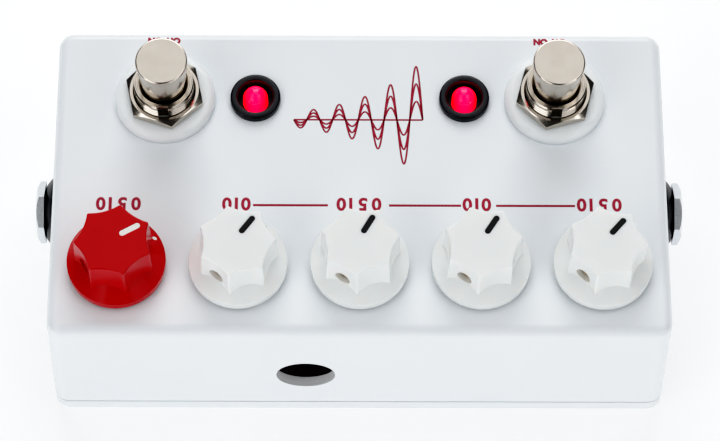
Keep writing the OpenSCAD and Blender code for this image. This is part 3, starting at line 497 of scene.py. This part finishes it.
def grip_radius(angle):
    """The grip's outline: two neighbouring hollows that meet in a rounded ridge."""
    near, far = flute_radius(angle), flute_radius(2 * math.pi / flutes - angle)
    blend = max(ridge_round - abs(far - near), 0) / ridge_round
    return min(near, far) - blend * blend * ridge_round / 4


def arc(middle, radius, start, end, steps=4):
    """Points of a rounded edge in a turned profile, from one angle to another in degrees."""
    angles = [math.radians(start + (end - start) * k / steps) for k in range(steps + 1)]
    return [(middle[0] + radius * math.cos(a), middle[1] + radius * math.sin(a)) for a in angles]


edge_middle = knob_r - skirt_round
knob = turned("knob", (
    arc((edge_middle, skirt_round), skirt_round, -90, 0)
    + arc((edge_middle, skirt_h - skirt_round), skirt_round, 0, 65)
    + [(cone_top_r, cone_top_z)]), 144)
bpy.ops.object.select_all(action="DESELECT")
bpy.ops.mesh.primitive_circle_add(
    vertices=flutes * flute_samples, radius=mean_grip_r, location=(0, 0, grip_foot))
grip = named("grip")
bpy.ops.object.transform_apply(location=True, rotation=True, scale=True)
bpy.ops.object.mode_set(mode="EDIT")
sample = 2 * math.pi / flutes / flute_samples
for k in range(flute_samples):
    pick("VERT", lambda place, normal: round(math.atan2(place.y, place.x) / sample) % flute_samples == k)
    reach = grip_radius(abs(k / flute_samples - 0.5) * 2 * math.pi / flutes) / mean_grip_r * grip_spread
    bpy.ops.transform.resize(value=(reach, reach, 1), center_override=(0, 0, grip_foot))
bpy.ops.mesh.select_all(action="SELECT")
draw_out([(mean_grip_r * grip_spread, grip_foot)]
         + arc((mean_grip_r - top_round, knob_h - top_round), top_round, 0, 90, 5))
cut(knob, grip, "UNION")
cut(knob, rod((0, 0, -wall), (0, 0, skirt_bore_top), skirt_bore_r, 96))
cut(knob, rod((0, 0, 0), (0, 0, insert_top), insert_r, 64))
cut(knob, rod((0, 0, set_screw_z), (-set_screw_reach, 0, set_screw_z), set_screw_r, 48))
cut(knob, rod((dot_x, 0, dot_floor), (dot_x, 0, knob_h), dot_r, 24))
slot = block("slot", (slot_start, slot_right, knob_h - slot_deep), (slot_end, slot_left, knob_h + overrun))
bpy.ops.object.mode_set(mode="EDIT")
pick("EDGE", lambda middle, along: abs(along.z) > 0.9)
bpy.ops.mesh.bevel(offset=slot_round, segments=8, affect="EDGES")
bpy.ops.object.mode_set(mode="OBJECT")
cut(knob, slot)
smooth(knob)

# Moulded white plastic: bright and glossy, with a little light let in at thin edges and faint flow marks.
white_plastic, tree, place = new_material("moulded_plastic_white")
flow = add_node(tree, "TexNoise", {"Vector": place, "Scale": 1 / (5 * mm), "Detail": 3})
tone = add_node(tree, "Mix", {
    mix_by: flow.outputs["Fac"], mix_from: srgb("EEF1F0"), mix_to: srgb("F4F6F5")}, data_type="RGBA")
gloss = add_node(tree, "MapRange", {"Value": flow.outputs["Fac"], "To Min": 0.18, "To Max": 0.28})
fine = add_node(tree, "TexNoise", {"Vector": place, "Scale": 1 / (0.5 * mm), "Detail": 1})
skin = add_node(tree, "Bump", {"Height": fine.outputs["Fac"], "Strength": 0.1, "Distance": 0.01 * mm})
shader = add_node(tree, "BsdfPrincipled", {
    "Base Color": tone.outputs[mixed], "Roughness": gloss.outputs["Result"], "IOR": 1.49,
    "Normal": skin.outputs["Normal"],
    "Subsurface Weight": 0.5, "Subsurface Radius": (1, 0.9, 0.8), "Subsurface Scale": 1.5 * mm})
add_node(tree, "OutputMaterial", {"Surface": shader.outputs["BSDF"]})

# Moulded red plastic: the same gloss over a deep saturated red.
red_plastic, tree, place = new_material("moulded_plastic_red")
flow = add_node(tree, "TexNoise", {"Vector": place, "Scale": 1 / (5 * mm), "Detail": 3})
tone = add_node(tree, "Mix", {
    mix_by: flow.outputs["Fac"], mix_from: srgb("BA0010"), mix_to: srgb("C40016")}, data_type="RGBA")
gloss = add_node(tree, "MapRange", {"Value": flow.outputs["Fac"], "To Min": 0.14, "To Max": 0.22})
shader = add_node(tree, "BsdfPrincipled", {
    "Base Color": tone.outputs[mixed], "Roughness": gloss.outputs["Result"], "IOR": 1.49,
    "Specular IOR Level": 0.35})
add_node(tree, "OutputMaterial", {"Surface": shader.outputs["BSDF"]})


def copy_to(pattern, name, place, turn=(0, 0, 0)):
    """A copy of a modelled piece with its own mesh, turned and moved to its place."""
    piece = pattern.copy()
    piece.data = pattern.data.copy()
    piece.name = piece.data.name = name
    bpy.context.scene.collection.objects.link(piece)
    return put(piece, place, turn)


for i, (x, turn) in enumerate(zip(knob_xs, knob_turns), 1):
    piece = copy_to(knob, f"knob_cap_{i}", (x, knob_y, knob_z), (0, 0, turn))
    piece.data.materials.clear()
    piece.data.materials.append(red_plastic if i == 1 else white_plastic)
    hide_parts(f"knob_{i}")
    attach(piece, f"control_{i}")
bpy.data.objects.remove(knob)

# Paint wiped into the slots and dots: matt, and a little uneven where it dried.
for name, dark, light, owners in [("paint_fill_black", "060606", "0E0E0F", range(2, 6)),
                                  ("paint_fill_white", "E8E6E2", "F6F4F1", [1])]:
    paint, tree, place = new_material(name)
    dried = add_node(tree, "TexNoise", {
        "Vector": place, "Scale": 1 / (0.6 * mm), "Detail": 3})
    tone = add_node(tree, "Mix", {
        mix_by: dried.outputs["Fac"], mix_from: srgb(dark), mix_to: srgb(light)}, data_type="RGBA")
    matt = add_node(tree, "MapRange", {"Value": dried.outputs["Fac"], "To Min": 0.45, "To Max": 0.65})
    shader = add_node(tree, "BsdfPrincipled", {
        "Base Color": tone.outputs[mixed], "Roughness": matt.outputs["Result"]})
    add_node(tree, "OutputMaterial", {"Surface": shader.outputs["BSDF"]})
    dress(paint, *[f"pointer_{i}" for i in owners])

# Turned brass of the inserts and their set screws: yellow and satin, with tool marks about 0.4 mm apart.
brass, tree, place = new_material("turned_brass")
tool_marks = add_node(tree, "TexWave", {
    "Vector": place, "Scale": wave_scale / (0.4 * mm), "Distortion": 1}, bands_direction="Z")
metal = add_node(tree, "Mix", {
    mix_by: tool_marks.outputs["Fac"], mix_from: srgb("B38A4A"), mix_to: srgb("D6B374")}, data_type="RGBA")
shader = add_node(tree, "BsdfPrincipled", {
    "Base Color": metal.outputs[mixed], "Metallic": 1, "Roughness": 0.38})
add_node(tree, "OutputMaterial", {"Surface": shader.outputs["BSDF"]})
dress(brass, *[f"insert_{i}" for i in range(1, 6)])

# Footswitches: heavy push switches, whose threaded bush comes up through the panel into a hexagon nut.
# A nylon washer keeps the nut off the coat. The plunger slides in the bush, lifted by a spring in the body.
plunger_r, plunger_top, cap_r, cap_round = 4.42 * mm, 55.5 * mm, 5.12 * mm, 0.35 * mm
taper_foot = 47.5 * mm
stem_r, stem_foot = 2 * mm, 30.9 * mm
collar_r, collar_foot, collar_top = 5.52 * mm, 34.9 * mm, 36.4 * mm
bush_r, bush_top, bush_foot = 6 * mm, 46.5 * mm, 36.5 * mm
rim_break, mouth_r, mouth_break, key_floor = 0.25 * mm, 4.95 * mm, 0.3 * mm, 5.4 * mm
flange_r, flange_top = 7.6 * mm, bush_foot + 0.8 * mm
groove_rs, groove_half, groove_deep = (5.5 * mm, 5.2 * mm), 0.05 * mm, 0.06 * mm
key_half, key_outer = 1.05 * mm, 7 * mm
thread_pitch, thread_depth, thread_gap = 0.75 * mm, 0.32 * mm, 0.03 * mm
nut_h, nut_flat, nut_break, nut_sink = 1.8 * mm, 7 * mm, 0.15 * mm, 0.25 * mm
washer_h, washer_r, washer_bore = 2.3 * mm, 10 * mm, 6.15 * mm
washer_break, washer_round = 0.15 * mm, 1.6 * mm
nut_turns = {-1: -18.3, 1: 15.7}
sides_of = {-1: "left", 1: "right"}

plunger = turned("plunger", (
    [(stem_r, stem_foot), (stem_r, collar_foot), (collar_r, collar_foot),
     (collar_r, collar_top), (plunger_r, collar_top), (plunger_r, taper_foot)]
    + arc((cap_r - cap_round, plunger_top - cap_round), cap_round, 0, 90, 6)))
smooth(plunger, 40)


def thread(radius, low, high, pitch, depth):
    """The outline of a screw thread, as flat crests and hollows from a low to a high point."""
    crest, hollow, hollow_end = 0.15 * pitch, 0.5 * pitch, 0.65 * pitch
    count = int((high - low) / pitch)
    points = []
    for k in range(count):
        foot = low + k * pitch
        points += [(radius, foot), (radius, foot + crest), (radius - depth, foot + hollow),
                   (radius - depth, foot + hollow_end)]
    return points + [(radius, low + count * pitch), (radius, high)]


bush_bore = mouth_r - mouth_break
rim = [(bush_r, bush_top - rim_break), (bush_r - rim_break, bush_top)]
for groove_r in groove_rs:
    rim += [(groove_r + groove_half, bush_top), (groove_r, bush_top - groove_deep),
            (groove_r - groove_half, bush_top)]
bush_profile = (
    [(bush_bore, bush_foot), (flange_r, bush_foot), (flange_r, flange_top)]
    + thread(bush_r, flange_top, bush_top - rim_break - 0.1 * mm, thread_pitch, thread_depth)
    + rim + [(mouth_r, bush_top), (bush_bore, bush_top - mouth_break), (bush_bore, bush_foot)])
bush = turned("bush", bush_profile)
cut(bush, block("keyway", (-key_half, -key_outer, flange_top), (key_half, -key_floor, bush_top + overrun)))
smooth(bush, 25)


def hexagon_nut(name, flat, bore, height):
    """A nut from hexagon bar: the corners chamfered on its upper face, and the bore countersunk."""
    corner = flat / math.cos(math.radians(30))
    land = flat - nut_break
    slope = math.tan(math.radians(30))
    blank_r = corner + overrun
    bpy.ops.object.select_all(action="DESELECT")
    bpy.ops.mesh.primitive_cylinder_add(
        vertices=6, radius=corner, depth=height, location=(0, 0, height / 2),
        rotation=(0, 0, math.radians(30)))
    bpy.ops.object.transform_apply(location=True, rotation=True, scale=True)
    nut = named(name)
    bpy.ops.object.mode_set(mode="EDIT")
    pick("EDGE", lambda middle, along: abs(along.z) > 0.9)
    bpy.ops.mesh.bevel(offset=nut_break, segments=2, affect="EDGES")
    bpy.ops.object.mode_set(mode="OBJECT")
    blank = [(blank_r, -overrun), (blank_r, height - (blank_r - land) * slope), (land, height)]
    cut(nut, turned("blank", blank), "INTERSECT")
    drill = [(bore, -overrun), (bore, height - nut_sink), (bore + 2 * nut_sink, height + nut_sink)]
    cut(nut, turned("drill", drill))
    smooth(nut, 25)
    return nut


nut = hexagon_nut("nut", nut_flat, bush_r + thread_gap, nut_h)
washer = turned("washer", (
    [(washer_bore, 0), (washer_r - washer_break, 0), (washer_r, washer_break)]
    + arc((washer_r - washer_round, washer_h - washer_round), washer_round, 0, 90, 8)
    + [(washer_bore, washer_h), (washer_bore, 0)]))
smooth(washer)

# Natural nylon: milky white, with light let deep in so that the edges stay soft. Its faint glow is painted
# light: an emission that stands in for the light that it takes up from the white coat below it and lets
# through.
nylon, tree, place = new_material("nylon_natural")
milk = add_node(tree, "TexNoise", {"Vector": place, "Scale": 1 / (4 * mm), "Detail": 2})
tone = add_node(tree, "Mix", {
    mix_by: milk.outputs["Fac"], mix_from: srgb("EAF0F4"), mix_to: srgb("F3F8FB")}, data_type="RGBA")
cloudy = add_node(tree, "MapRange", {"Value": milk.outputs["Fac"], "To Min": 0.3, "To Max": 0.42})
shader = add_node(tree, "BsdfPrincipled", {
    "Base Color": tone.outputs[mixed], "Roughness": cloudy.outputs["Result"], "IOR": 1.53,
    "Subsurface Weight": 1, "Subsurface Radius": (1, 1, 1), "Subsurface Scale": 3 * mm,
    "Emission Color": srgb("E6F0F8"), "Emission Strength": 0.07})
add_node(tree, "OutputMaterial", {"Surface": shader.outputs["BSDF"]})


def join(name, pieces):
    """Several solids as one piece, as the like fasteners of one node are."""
    bpy.ops.object.select_all(action="DESELECT")
    for piece in pieces:
        piece.select_set(True)
    bpy.context.view_layer.objects.active = pieces[0]
    bpy.ops.object.join()
    return named(name)


plunger.data.materials.append(nickel)
bush.data.materials.append(nickel)
nut.data.materials.append(nickel)
washer.data.materials.append(nylon)
for side, word in sides_of.items():
    piece = copy_to(plunger, f"plunger_cap_{word}", (side * switch_x, switch_y, 0))
    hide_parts(f"plunger_{word}")
    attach(piece, f"footswitch_{word}")
    piece = copy_to(bush, f"threaded_bush_{word}", (side * switch_x, switch_y, 0))
    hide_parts(f"switch_bush_{word}")
    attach(piece, "pedal")
nuts = join("hexagon_nuts", [
    copy_to(nut, "nut_copy", (side * switch_x, switch_y, panel_z + washer_h), (0, 0, nut_turns[side]))
    for side in (-1, 1)])
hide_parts("switch_nuts")
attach(nuts, "pedal")
washers = join("clear_washers", [
    copy_to(washer, "washer_copy", (side * switch_x, switch_y, panel_z))
    for side in (-1, 1)])
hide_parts("nylon_washers")
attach(washers, "pedal")
for pattern in (plunger, bush, nut, washer):
    bpy.data.objects.remove(pattern)

# Blue glass-filled nylon of the switch bodies: satin, with short pale fibres near the surface.
switch_plastic, tree, place = new_material("glass_filled_nylon_blue")
fibres = add_node(tree, "Mapping", {"Vector": place, "Scale": (1, 1, 0.15)})
grain = add_node(tree, "TexNoise", {
    "Vector": fibres.outputs["Vector"], "Scale": 1 / (0.3 * mm), "Detail": 2})
tone = add_node(tree, "Mix", {
    mix_by: grain.outputs["Fac"], mix_from: srgb("16255C"), mix_to: srgb("24387C")}, data_type="RGBA")
shader = add_node(tree, "BsdfPrincipled", {"Base Color": tone.outputs[mixed], "Roughness": 0.45})
add_node(tree, "OutputMaterial", {"Surface": shader.outputs["BSDF"]})
dress(switch_plastic, "switch_body_left", "switch_body_right")
dress(nickel, "switch_lugs")

# Spring wire: dark drawn steel, with fine uneven drawing marks about 0.4 mm long.
spring_wire, tree, place = new_material("spring_steel_wire")
drawn = add_node(tree, "TexNoise", {"Vector": place, "Scale": 1 / (0.4 * mm), "Detail": 3})
metal = add_node(tree, "Mix", {
    mix_by: drawn.outputs["Fac"], mix_from: srgb("77787C"), mix_to: srgb("9C9DA1")}, data_type="RGBA")
shader = add_node(tree, "BsdfPrincipled", {
    "Base Color": metal.outputs[mixed], "Metallic": 1, "Roughness": 0.33})
add_node(tree, "OutputMaterial", {"Surface": shader.outputs["BSDF"]})


def tube(points, radius):
    """A round wire through points: a curve given a thickness, then made a mesh."""
    curve = bpy.data.curves.new("wire", "CURVE")
    curve.dimensions = "3D"
    curve.bevel_depth = radius
    curve.bevel_resolution = 1
    curve.use_fill_caps = True
    spline = curve.splines.new("POLY")
    spline.points.add(len(points) - 1)
    for point, place in zip(spline.points, points):
        point.co = (*place, 1)
    piece = bpy.data.objects.new("wire", curve)
    bpy.context.scene.collection.objects.link(piece)
    take(piece)
    bpy.ops.object.convert(target="MESH")
    return bpy.context.active_object


spring_turns, ring_points = 5, 24
coil_r, wire_r = 3.8 * mm, 0.35 * mm
spring_foot, spring_len = 26.5 * mm, 8.3 * mm
for side, word in sides_of.items():
    coil = []
    for k in range(spring_turns * ring_points + 1):
        angle = 2 * math.pi * k / ring_points
        rise = k / (spring_turns * ring_points)
        coil.append((side * switch_x + coil_r * math.cos(angle), switch_y + coil_r * math.sin(angle),
                     spring_foot + wire_r + (spring_len - 2 * wire_r) * rise))
    tube(coil, wire_r)
    spring = named(f"return_spring_{word}")
    smooth(spring)
    spring.data.materials.append(spring_wire)
    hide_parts(f"spring_{word}")
    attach(spring, "pedal")
    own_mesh(spring)

# Lamps: 5 mm red LEDs, lit, pushed up from below into black plastic bezels that snap into the panel.
# The bezel's lip is rounded, and the LED's dome stands in a recess that it lights from inside.
lip, recess_r, recess_floor = 0.45 * mm, 3.6 * mm, -1.2 * mm
bezel_r, bezel_h, barrel_r, barrel_foot, led_bore = 5 * mm, 1.5 * mm, 4.1 * mm, -4.5 * mm, 2.5 * mm
led_r, led_tip, led_foot, led_flange_r = 2.45 * mm, 2.9 * mm, -5.5 * mm, 2.85 * mm
recess_round = 0.2 * mm
leg_out, leg_r, leg_foot, leg_top = 1.27 * mm, 0.3 * mm, 20 * mm, panel_z - 5 * mm
bezel = turned("bezel", (
    [(led_bore, barrel_foot), (barrel_r, barrel_foot), (barrel_r, 0), (bezel_r, 0)]
    + arc((bezel_r - lip, bezel_h - lip), lip, 0, 90, 6)
    + arc((recess_r + recess_round, bezel_h - recess_round), recess_round, 90, 180)
    + [(recess_r, recess_floor), (led_bore, recess_floor), (led_bore, barrel_foot)]))
smooth(bezel)
led = turned("led", (
    [(led_flange_r, led_foot), (led_flange_r, barrel_foot), (led_r, barrel_foot)]
    + arc((0, led_tip - led_r), led_r, 0, 88, 14)), 64)
smooth(led)

# Black moulded plastic: deep and satin, with a fine moulded grain.
black_plastic, tree, place = new_material("moulded_plastic_black")
grain = add_node(tree, "TexNoise", {"Vector": place, "Scale": 1 / (0.4 * mm), "Detail": 2})
tone = add_node(tree, "Mix", {
    mix_by: grain.outputs["Fac"], mix_from: srgb("0B0D14"), mix_to: srgb("151820")}, data_type="RGBA")
satin = add_node(tree, "MapRange", {"Value": grain.outputs["Fac"], "To Min": 0.28, "To Max": 0.4})
skin = add_node(tree, "Bump", {"Height": grain.outputs["Fac"], "Strength": 0.2, "Distance": 0.01 * mm})
shader = add_node(tree, "BsdfPrincipled", {
    "Base Color": tone.outputs[mixed], "Roughness": satin.outputs["Result"],
    "Normal": skin.outputs["Normal"]})
add_node(tree, "OutputMaterial", {"Surface": shader.outputs["BSDF"]})

# Lit red epoxy: glows deep red at its sides, with a pink core over the die.
# The distance from the lamp's axis sets the glow, and the core is drawn out towards the back and the front.
core_stretch = 0.4
led_epoxy, tree, place = new_material("led_epoxy_red")
mirrored = add_node(tree, "VectorMath", {0: place}, operation="ABSOLUTE")
flat = add_node(tree, "Mapping", {
    "Vector": mirrored.outputs["Vector"],
    "Location": (-lamp_x, -core_stretch * switch_y, 0), "Scale": (1, core_stretch, 0)})
away = add_node(tree, "VectorMath", {0: flat.outputs["Vector"]}, operation="LENGTH")
core = add_node(tree, "MapRange", {
    "Value": away.outputs["Value"], "From Min": 0.6 * mm, "From Max": 2.5 * mm, "To Min": 1, "To Max": 0})
glow = add_node(tree, "Mix", {
    mix_by: core.outputs["Result"], mix_from: srgb("FF001B"), mix_to: srgb("FF0153")}, data_type="RGBA")
shader = add_node(tree, "BsdfPrincipled", {
    "Base Color": srgb("A00018"), "Roughness": 0.25, "IOR": 1.53, "Emission Color": glow.outputs[mixed],
    "Emission Strength": 1.8})
add_node(tree, "OutputMaterial", {"Surface": shader.outputs["BSDF"]})

bezel.data.materials.append(black_plastic)
led.data.materials.append(led_epoxy)
bezels = join("lamp_bezels", [
    copy_to(bezel, "bezel_copy", (side * lamp_x, switch_y, panel_z))
    for side in (-1, 1)])
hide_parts("led_bezels")
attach(bezels, "pedal")
lamps = [copy_to(led, "led_copy", (side * lamp_x, switch_y, panel_z)) for side in (-1, 1)]
for side in (-1, 1):
    for leg in (-leg_out, leg_out):
        x = side * lamp_x + leg
        lead = rod((x, switch_y, leg_foot), (x, switch_y, leg_top), leg_r, 16)
        lead.data.materials.append(plated_steel)
        lamps.append(lead)
lamps = join("lamp_leds", lamps)
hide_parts("leds")
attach(lamps, "pedal")
for pattern in (bezel, led):
    bpy.data.objects.remove(pattern)

# Audio jacks: a plastic body inside each end wall, with a threaded bush that comes out through the wall.
# A black washer and a thin hexagon nut hold it. Brass contact blades inside the body touch the plug.
jack_reach, jack_bush_r, plug_bore = 4.5 * mm, 4.5 * mm, 3.2 * mm
jack_washer_h, jack_nut_h, jack_nut_flat, jack_nut_turn = 2.8 * mm, 1.6 * mm, 5.5 * mm, 5
jack_fit_r = jack_bush_r + thread_gap
jack_flange_r, jack_flange_foot = 6.5 * mm, -3.2 * mm
jack_pitch, jack_thread, jack_round, mouth_round = 0.6 * mm, 0.25 * mm, 0.3 * mm, 0.4 * mm
washer_dome = [(7.5, 0.56), (7.28, 1), (6.91, 1.4), (6.49, 1.81), (6.07, 2.15), (5.58, 2.46), (5.12, 2.66)]
dome_top_r = 4.86 * mm
jack_washer = turned("jack_washer", (
    [(jack_fit_r, 0), (jack_washer_r, 0)]
    + [(radius * mm, height * mm) for radius, height in washer_dome]
    + [(dome_top_r, jack_washer_h), (jack_fit_r, jack_washer_h), (jack_fit_r, 0)]))
smooth(jack_washer, 25)
jack_nut = hexagon_nut("jack_nut", jack_nut_flat, jack_fit_r, jack_nut_h)
jack_bush = turned("jack_bush", (
    [(plug_bore, jack_flange_foot), (jack_flange_r, jack_flange_foot), (jack_flange_r, -wall)]
    + thread(jack_bush_r, -wall, jack_reach - mouth_round, jack_pitch, jack_thread)
    + arc((jack_bush_r - jack_round, jack_reach - jack_round), jack_round, 0, 90)
    + arc((plug_bore + mouth_round, jack_reach - mouth_round), mouth_round, 90, 180)
    + [(plug_bore, jack_flange_foot)]))
smooth(jack_bush, 25)

# Satin zinc plate of the jack nuts: a cool grey whose fine grain breaks up what it mirrors.
satin_zinc, tree, place = new_material("zinc_plate_satin")
grain = add_node(tree, "TexNoise", {"Vector": place, "Scale": 1 / (0.25 * mm), "Detail": 3})
metal = add_node(tree, "Mix", {
    mix_by: grain.outputs["Fac"], mix_from: srgb("CBCFD3"), mix_to: srgb("EEF1F3")}, data_type="RGBA")
satin = add_node(tree, "MapRange", {"Value": grain.outputs["Fac"], "To Min": 0.22, "To Max": 0.4})
pits = add_node(tree, "Bump", {"Height": grain.outputs["Fac"], "Strength": 0.5, "Distance": 0.03 * mm})
shader = add_node(tree, "BsdfPrincipled", {
    "Base Color": metal.outputs[mixed], "Metallic": 1, "Roughness": satin.outputs["Result"],
    "Normal": pits.outputs["Normal"]})
add_node(tree, "OutputMaterial", {"Surface": shader.outputs["BSDF"]})

jack_washer.data.materials.append(black_plastic)
jack_nut.data.materials.append(satin_zinc)
jack_bush.data.materials.append(nickel)
for pattern, name, node, finish, lift, turn in [
        (jack_washer, "wall_washers", "jack_washers", "black_plastic", 0, 0),
        (jack_nut, "wall_nuts", "jack_nuts", "nickel", jack_washer_h, jack_nut_turn),
        (jack_bush, "wall_bushes", "jack_bushes", "nickel", 0, 0)]:
    pair = [copy_to(pattern, name, (0, 0, lift), (0, 0, -side * turn)) for side in (-1, 1)]
    for piece, side in zip(pair, (-1, 1)):
        put(piece, (side * body_w / 2, jack_y, jack_z), (0, side * 90, 0))
    pair = join(name, pair)
    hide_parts(node)
    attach(pair, "pedal")
    bpy.data.objects.remove(pattern)
dress(black_plastic, "jack_bodies")
dress(brass, "jack_contacts")

# Power socket: a black moulded barrel socket that hangs from the main board, behind the hole in the front
# wall. Its nickel-plated centre pin stands in the bore.
dress(black_plastic, "dc_socket_body")
dress(nickel, "dc_socket_pin")

# Print: red screen print on the panel, with dial marks for the knobs, rules between them and fading waves.
# The ink lies on the coat in a film that is drawn 0.04 mm thick so that it is a closed solid.
# Screen-print ink: dark red and satin, with the faint marks of the screen's mesh.
ink, tree, place = new_material("screen_print_red")
mesh_marks = add_node(tree, "TexNoise", {
    "Vector": place, "Scale": 1 / (0.3 * mm), "Detail": 2})
tone = add_node(tree, "Mix", {
    mix_by: mesh_marks.outputs["Fac"], mix_from: srgb("9C0A2E"), mix_to: srgb("AA1438")}, data_type="RGBA")
satin = add_node(tree, "MapRange", {"Value": mesh_marks.outputs["Fac"], "To Min": 0.35, "To Max": 0.5})
shader = add_node(tree, "BsdfPrincipled", {
    "Base Color": tone.outputs[mixed], "Roughness": satin.outputs["Result"]})
add_node(tree, "OutputMaterial", {"Surface": shader.outputs["BSDF"]})
film, ink_spread, capital_share = 0.04 * mm, 0.13 * mm, 0.7


def words(text, height, x, y):
    """Printed figures, turned to be read from the footswitches' side."""
    bpy.ops.object.select_all(action="DESELECT")
    bpy.ops.object.text_add()
    piece = bpy.context.active_object
    piece.data.body = text
    piece.data.size = height / capital_share
    piece.data.align_x, piece.data.align_y = "CENTER", "CENTER"
    piece.data.extrude = film / 2
    piece.data.offset = ink_spread
    piece.data.resolution_u = 6
    bpy.ops.object.convert(target="MESH")
    bpy.ops.object.mode_set(mode="EDIT")
    bpy.ops.mesh.select_all(action="SELECT")
    bpy.ops.mesh.remove_doubles(threshold=0.001 * mm)
    bpy.ops.object.mode_set(mode="OBJECT")
    return put(bpy.context.active_object, (x, y, panel_z + film / 4), (0, 0, 180))


def line(points, width):
    """A printed line through points on the panel: a round curve, made a mesh and pressed flat."""
    piece = tube([(x, y, 0) for x, y in points], width / 2)
    piece.scale = (1, 1, film / width)
    return put(piece, (0, 0, panel_z + film / 4))


rule_y, rule_w = -5.78 * mm, 0.48 * mm
rule_ends = [(-20.95, -6.24), (5.74, 19.88), (26.75, 42.27)]
mark_y, mark_h = -5.4 * mm, 2.6 * mm
wide_marks, narrow_marks = [("0", 3.3), ("5", 0.6), ("10", -2.7)], [("0", 1.25), ("10", -1.55)]
state_y, state_h, state_shift = 30.9 * mm, 1.25 * mm, 0.6 * mm
wave_x, wave_y, wave_w, wave_line = 12.5 * mm, 13.1 * mm, 25.6 * mm, 0.36 * mm
wave_heights, wave_fade, wave_swings, wave_steps = (13.4 * mm, 9 * mm, 4.6 * mm), 2.1, 5, 160
prints = [line([(start * mm, rule_y), (end * mm, rule_y)], rule_w) for start, end in rule_ends]
for i, x in enumerate(knob_xs):
    for text, along in narrow_marks if i in (1, 3) else wide_marks:
        prints.append(words(text, mark_h, x + along * mm, mark_y))
for side in (-1, 1):
    prints.append(words("OFF ON", state_h, side * switch_x - state_shift, state_y))
for height in wave_heights:
    wave = []
    for k in range(wave_steps + 1):
        share = k / wave_steps
        swing = height * math.exp(-wave_fade * share) * math.sin(2 * math.pi * wave_swings * share)
        wave.append((wave_x - wave_w * share, wave_y + swing))
    prints.append(line(wave, wave_line))
prints.append(line([(wave_x, wave_y), (wave_x - wave_w, wave_y)], wave_line))
prints = join("panel_print", prints)
prints.data.materials.clear()
prints.data.materials.append(ink)
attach(prints, "pedal")

# Electronics: a main board under the pots and a switch board under the footswitches, joined by a ribbon
# cable. They carry through-hole chips, capacitors and resistors, soldered by their leads.
# Solder mask gives a shiny green skin with a slow mottle, ribbon PVC a dull grey with a fine one, and chip
# epoxy a dark matt grain. The shrink sleeve is a satin dark blue, the dipped resin a shiny uneven red, and
# the resistors' lacquer a satin tan. A row holds two colours, the mottle's size in mm and the roughness.
for name, dark, light, size, rough, owners in [
        ("solder_mask_green", "0A4A2C", "0F5C37", 3, 0.35, ["main_board", "switch_board"]),
        ("ribbon_pvc_grey", "7E8288", "8D9197", 0.8, 0.55, ["ribbon_cable"]),
        ("chip_epoxy_black", "121213", "1E1E20", 0.3, 0.5,
         ["delay_chip", "op_amp_chips", "voltage_regulator"]),
        ("shrink_sleeve_blue", "14193A", "1E2550", 2, 0.4, ["electrolytic_capacitors"]),
        ("dipped_resin_red", "8E1E14", "A42C1E", 1.5, 0.3, ["film_capacitors"]),
        ("resistor_lacquer_tan", "B89C6E", "CBB084", 1, 0.45, ["resistors"])]:
    finish, tree, place = new_material(name)
    mottle = add_node(tree, "TexNoise", {
        "Vector": place, "Scale": 1 / (size * mm), "Detail": 3})
    tone = add_node(tree, "Mix", {
        mix_by: mottle.outputs["Fac"], mix_from: srgb(dark), mix_to: srgb(light)}, data_type="RGBA")
    skin = add_node(tree, "Bump", {"Height": mottle.outputs["Fac"], "Strength": 0.2, "Distance": 0.02 * mm})
    shader = add_node(tree, "BsdfPrincipled", {
        "Base Color": tone.outputs[mixed], "Roughness": rough, "Normal": skin.outputs["Normal"]})
    add_node(tree, "OutputMaterial", {"Surface": shader.outputs["BSDF"]})
    dress(finish, *owners)
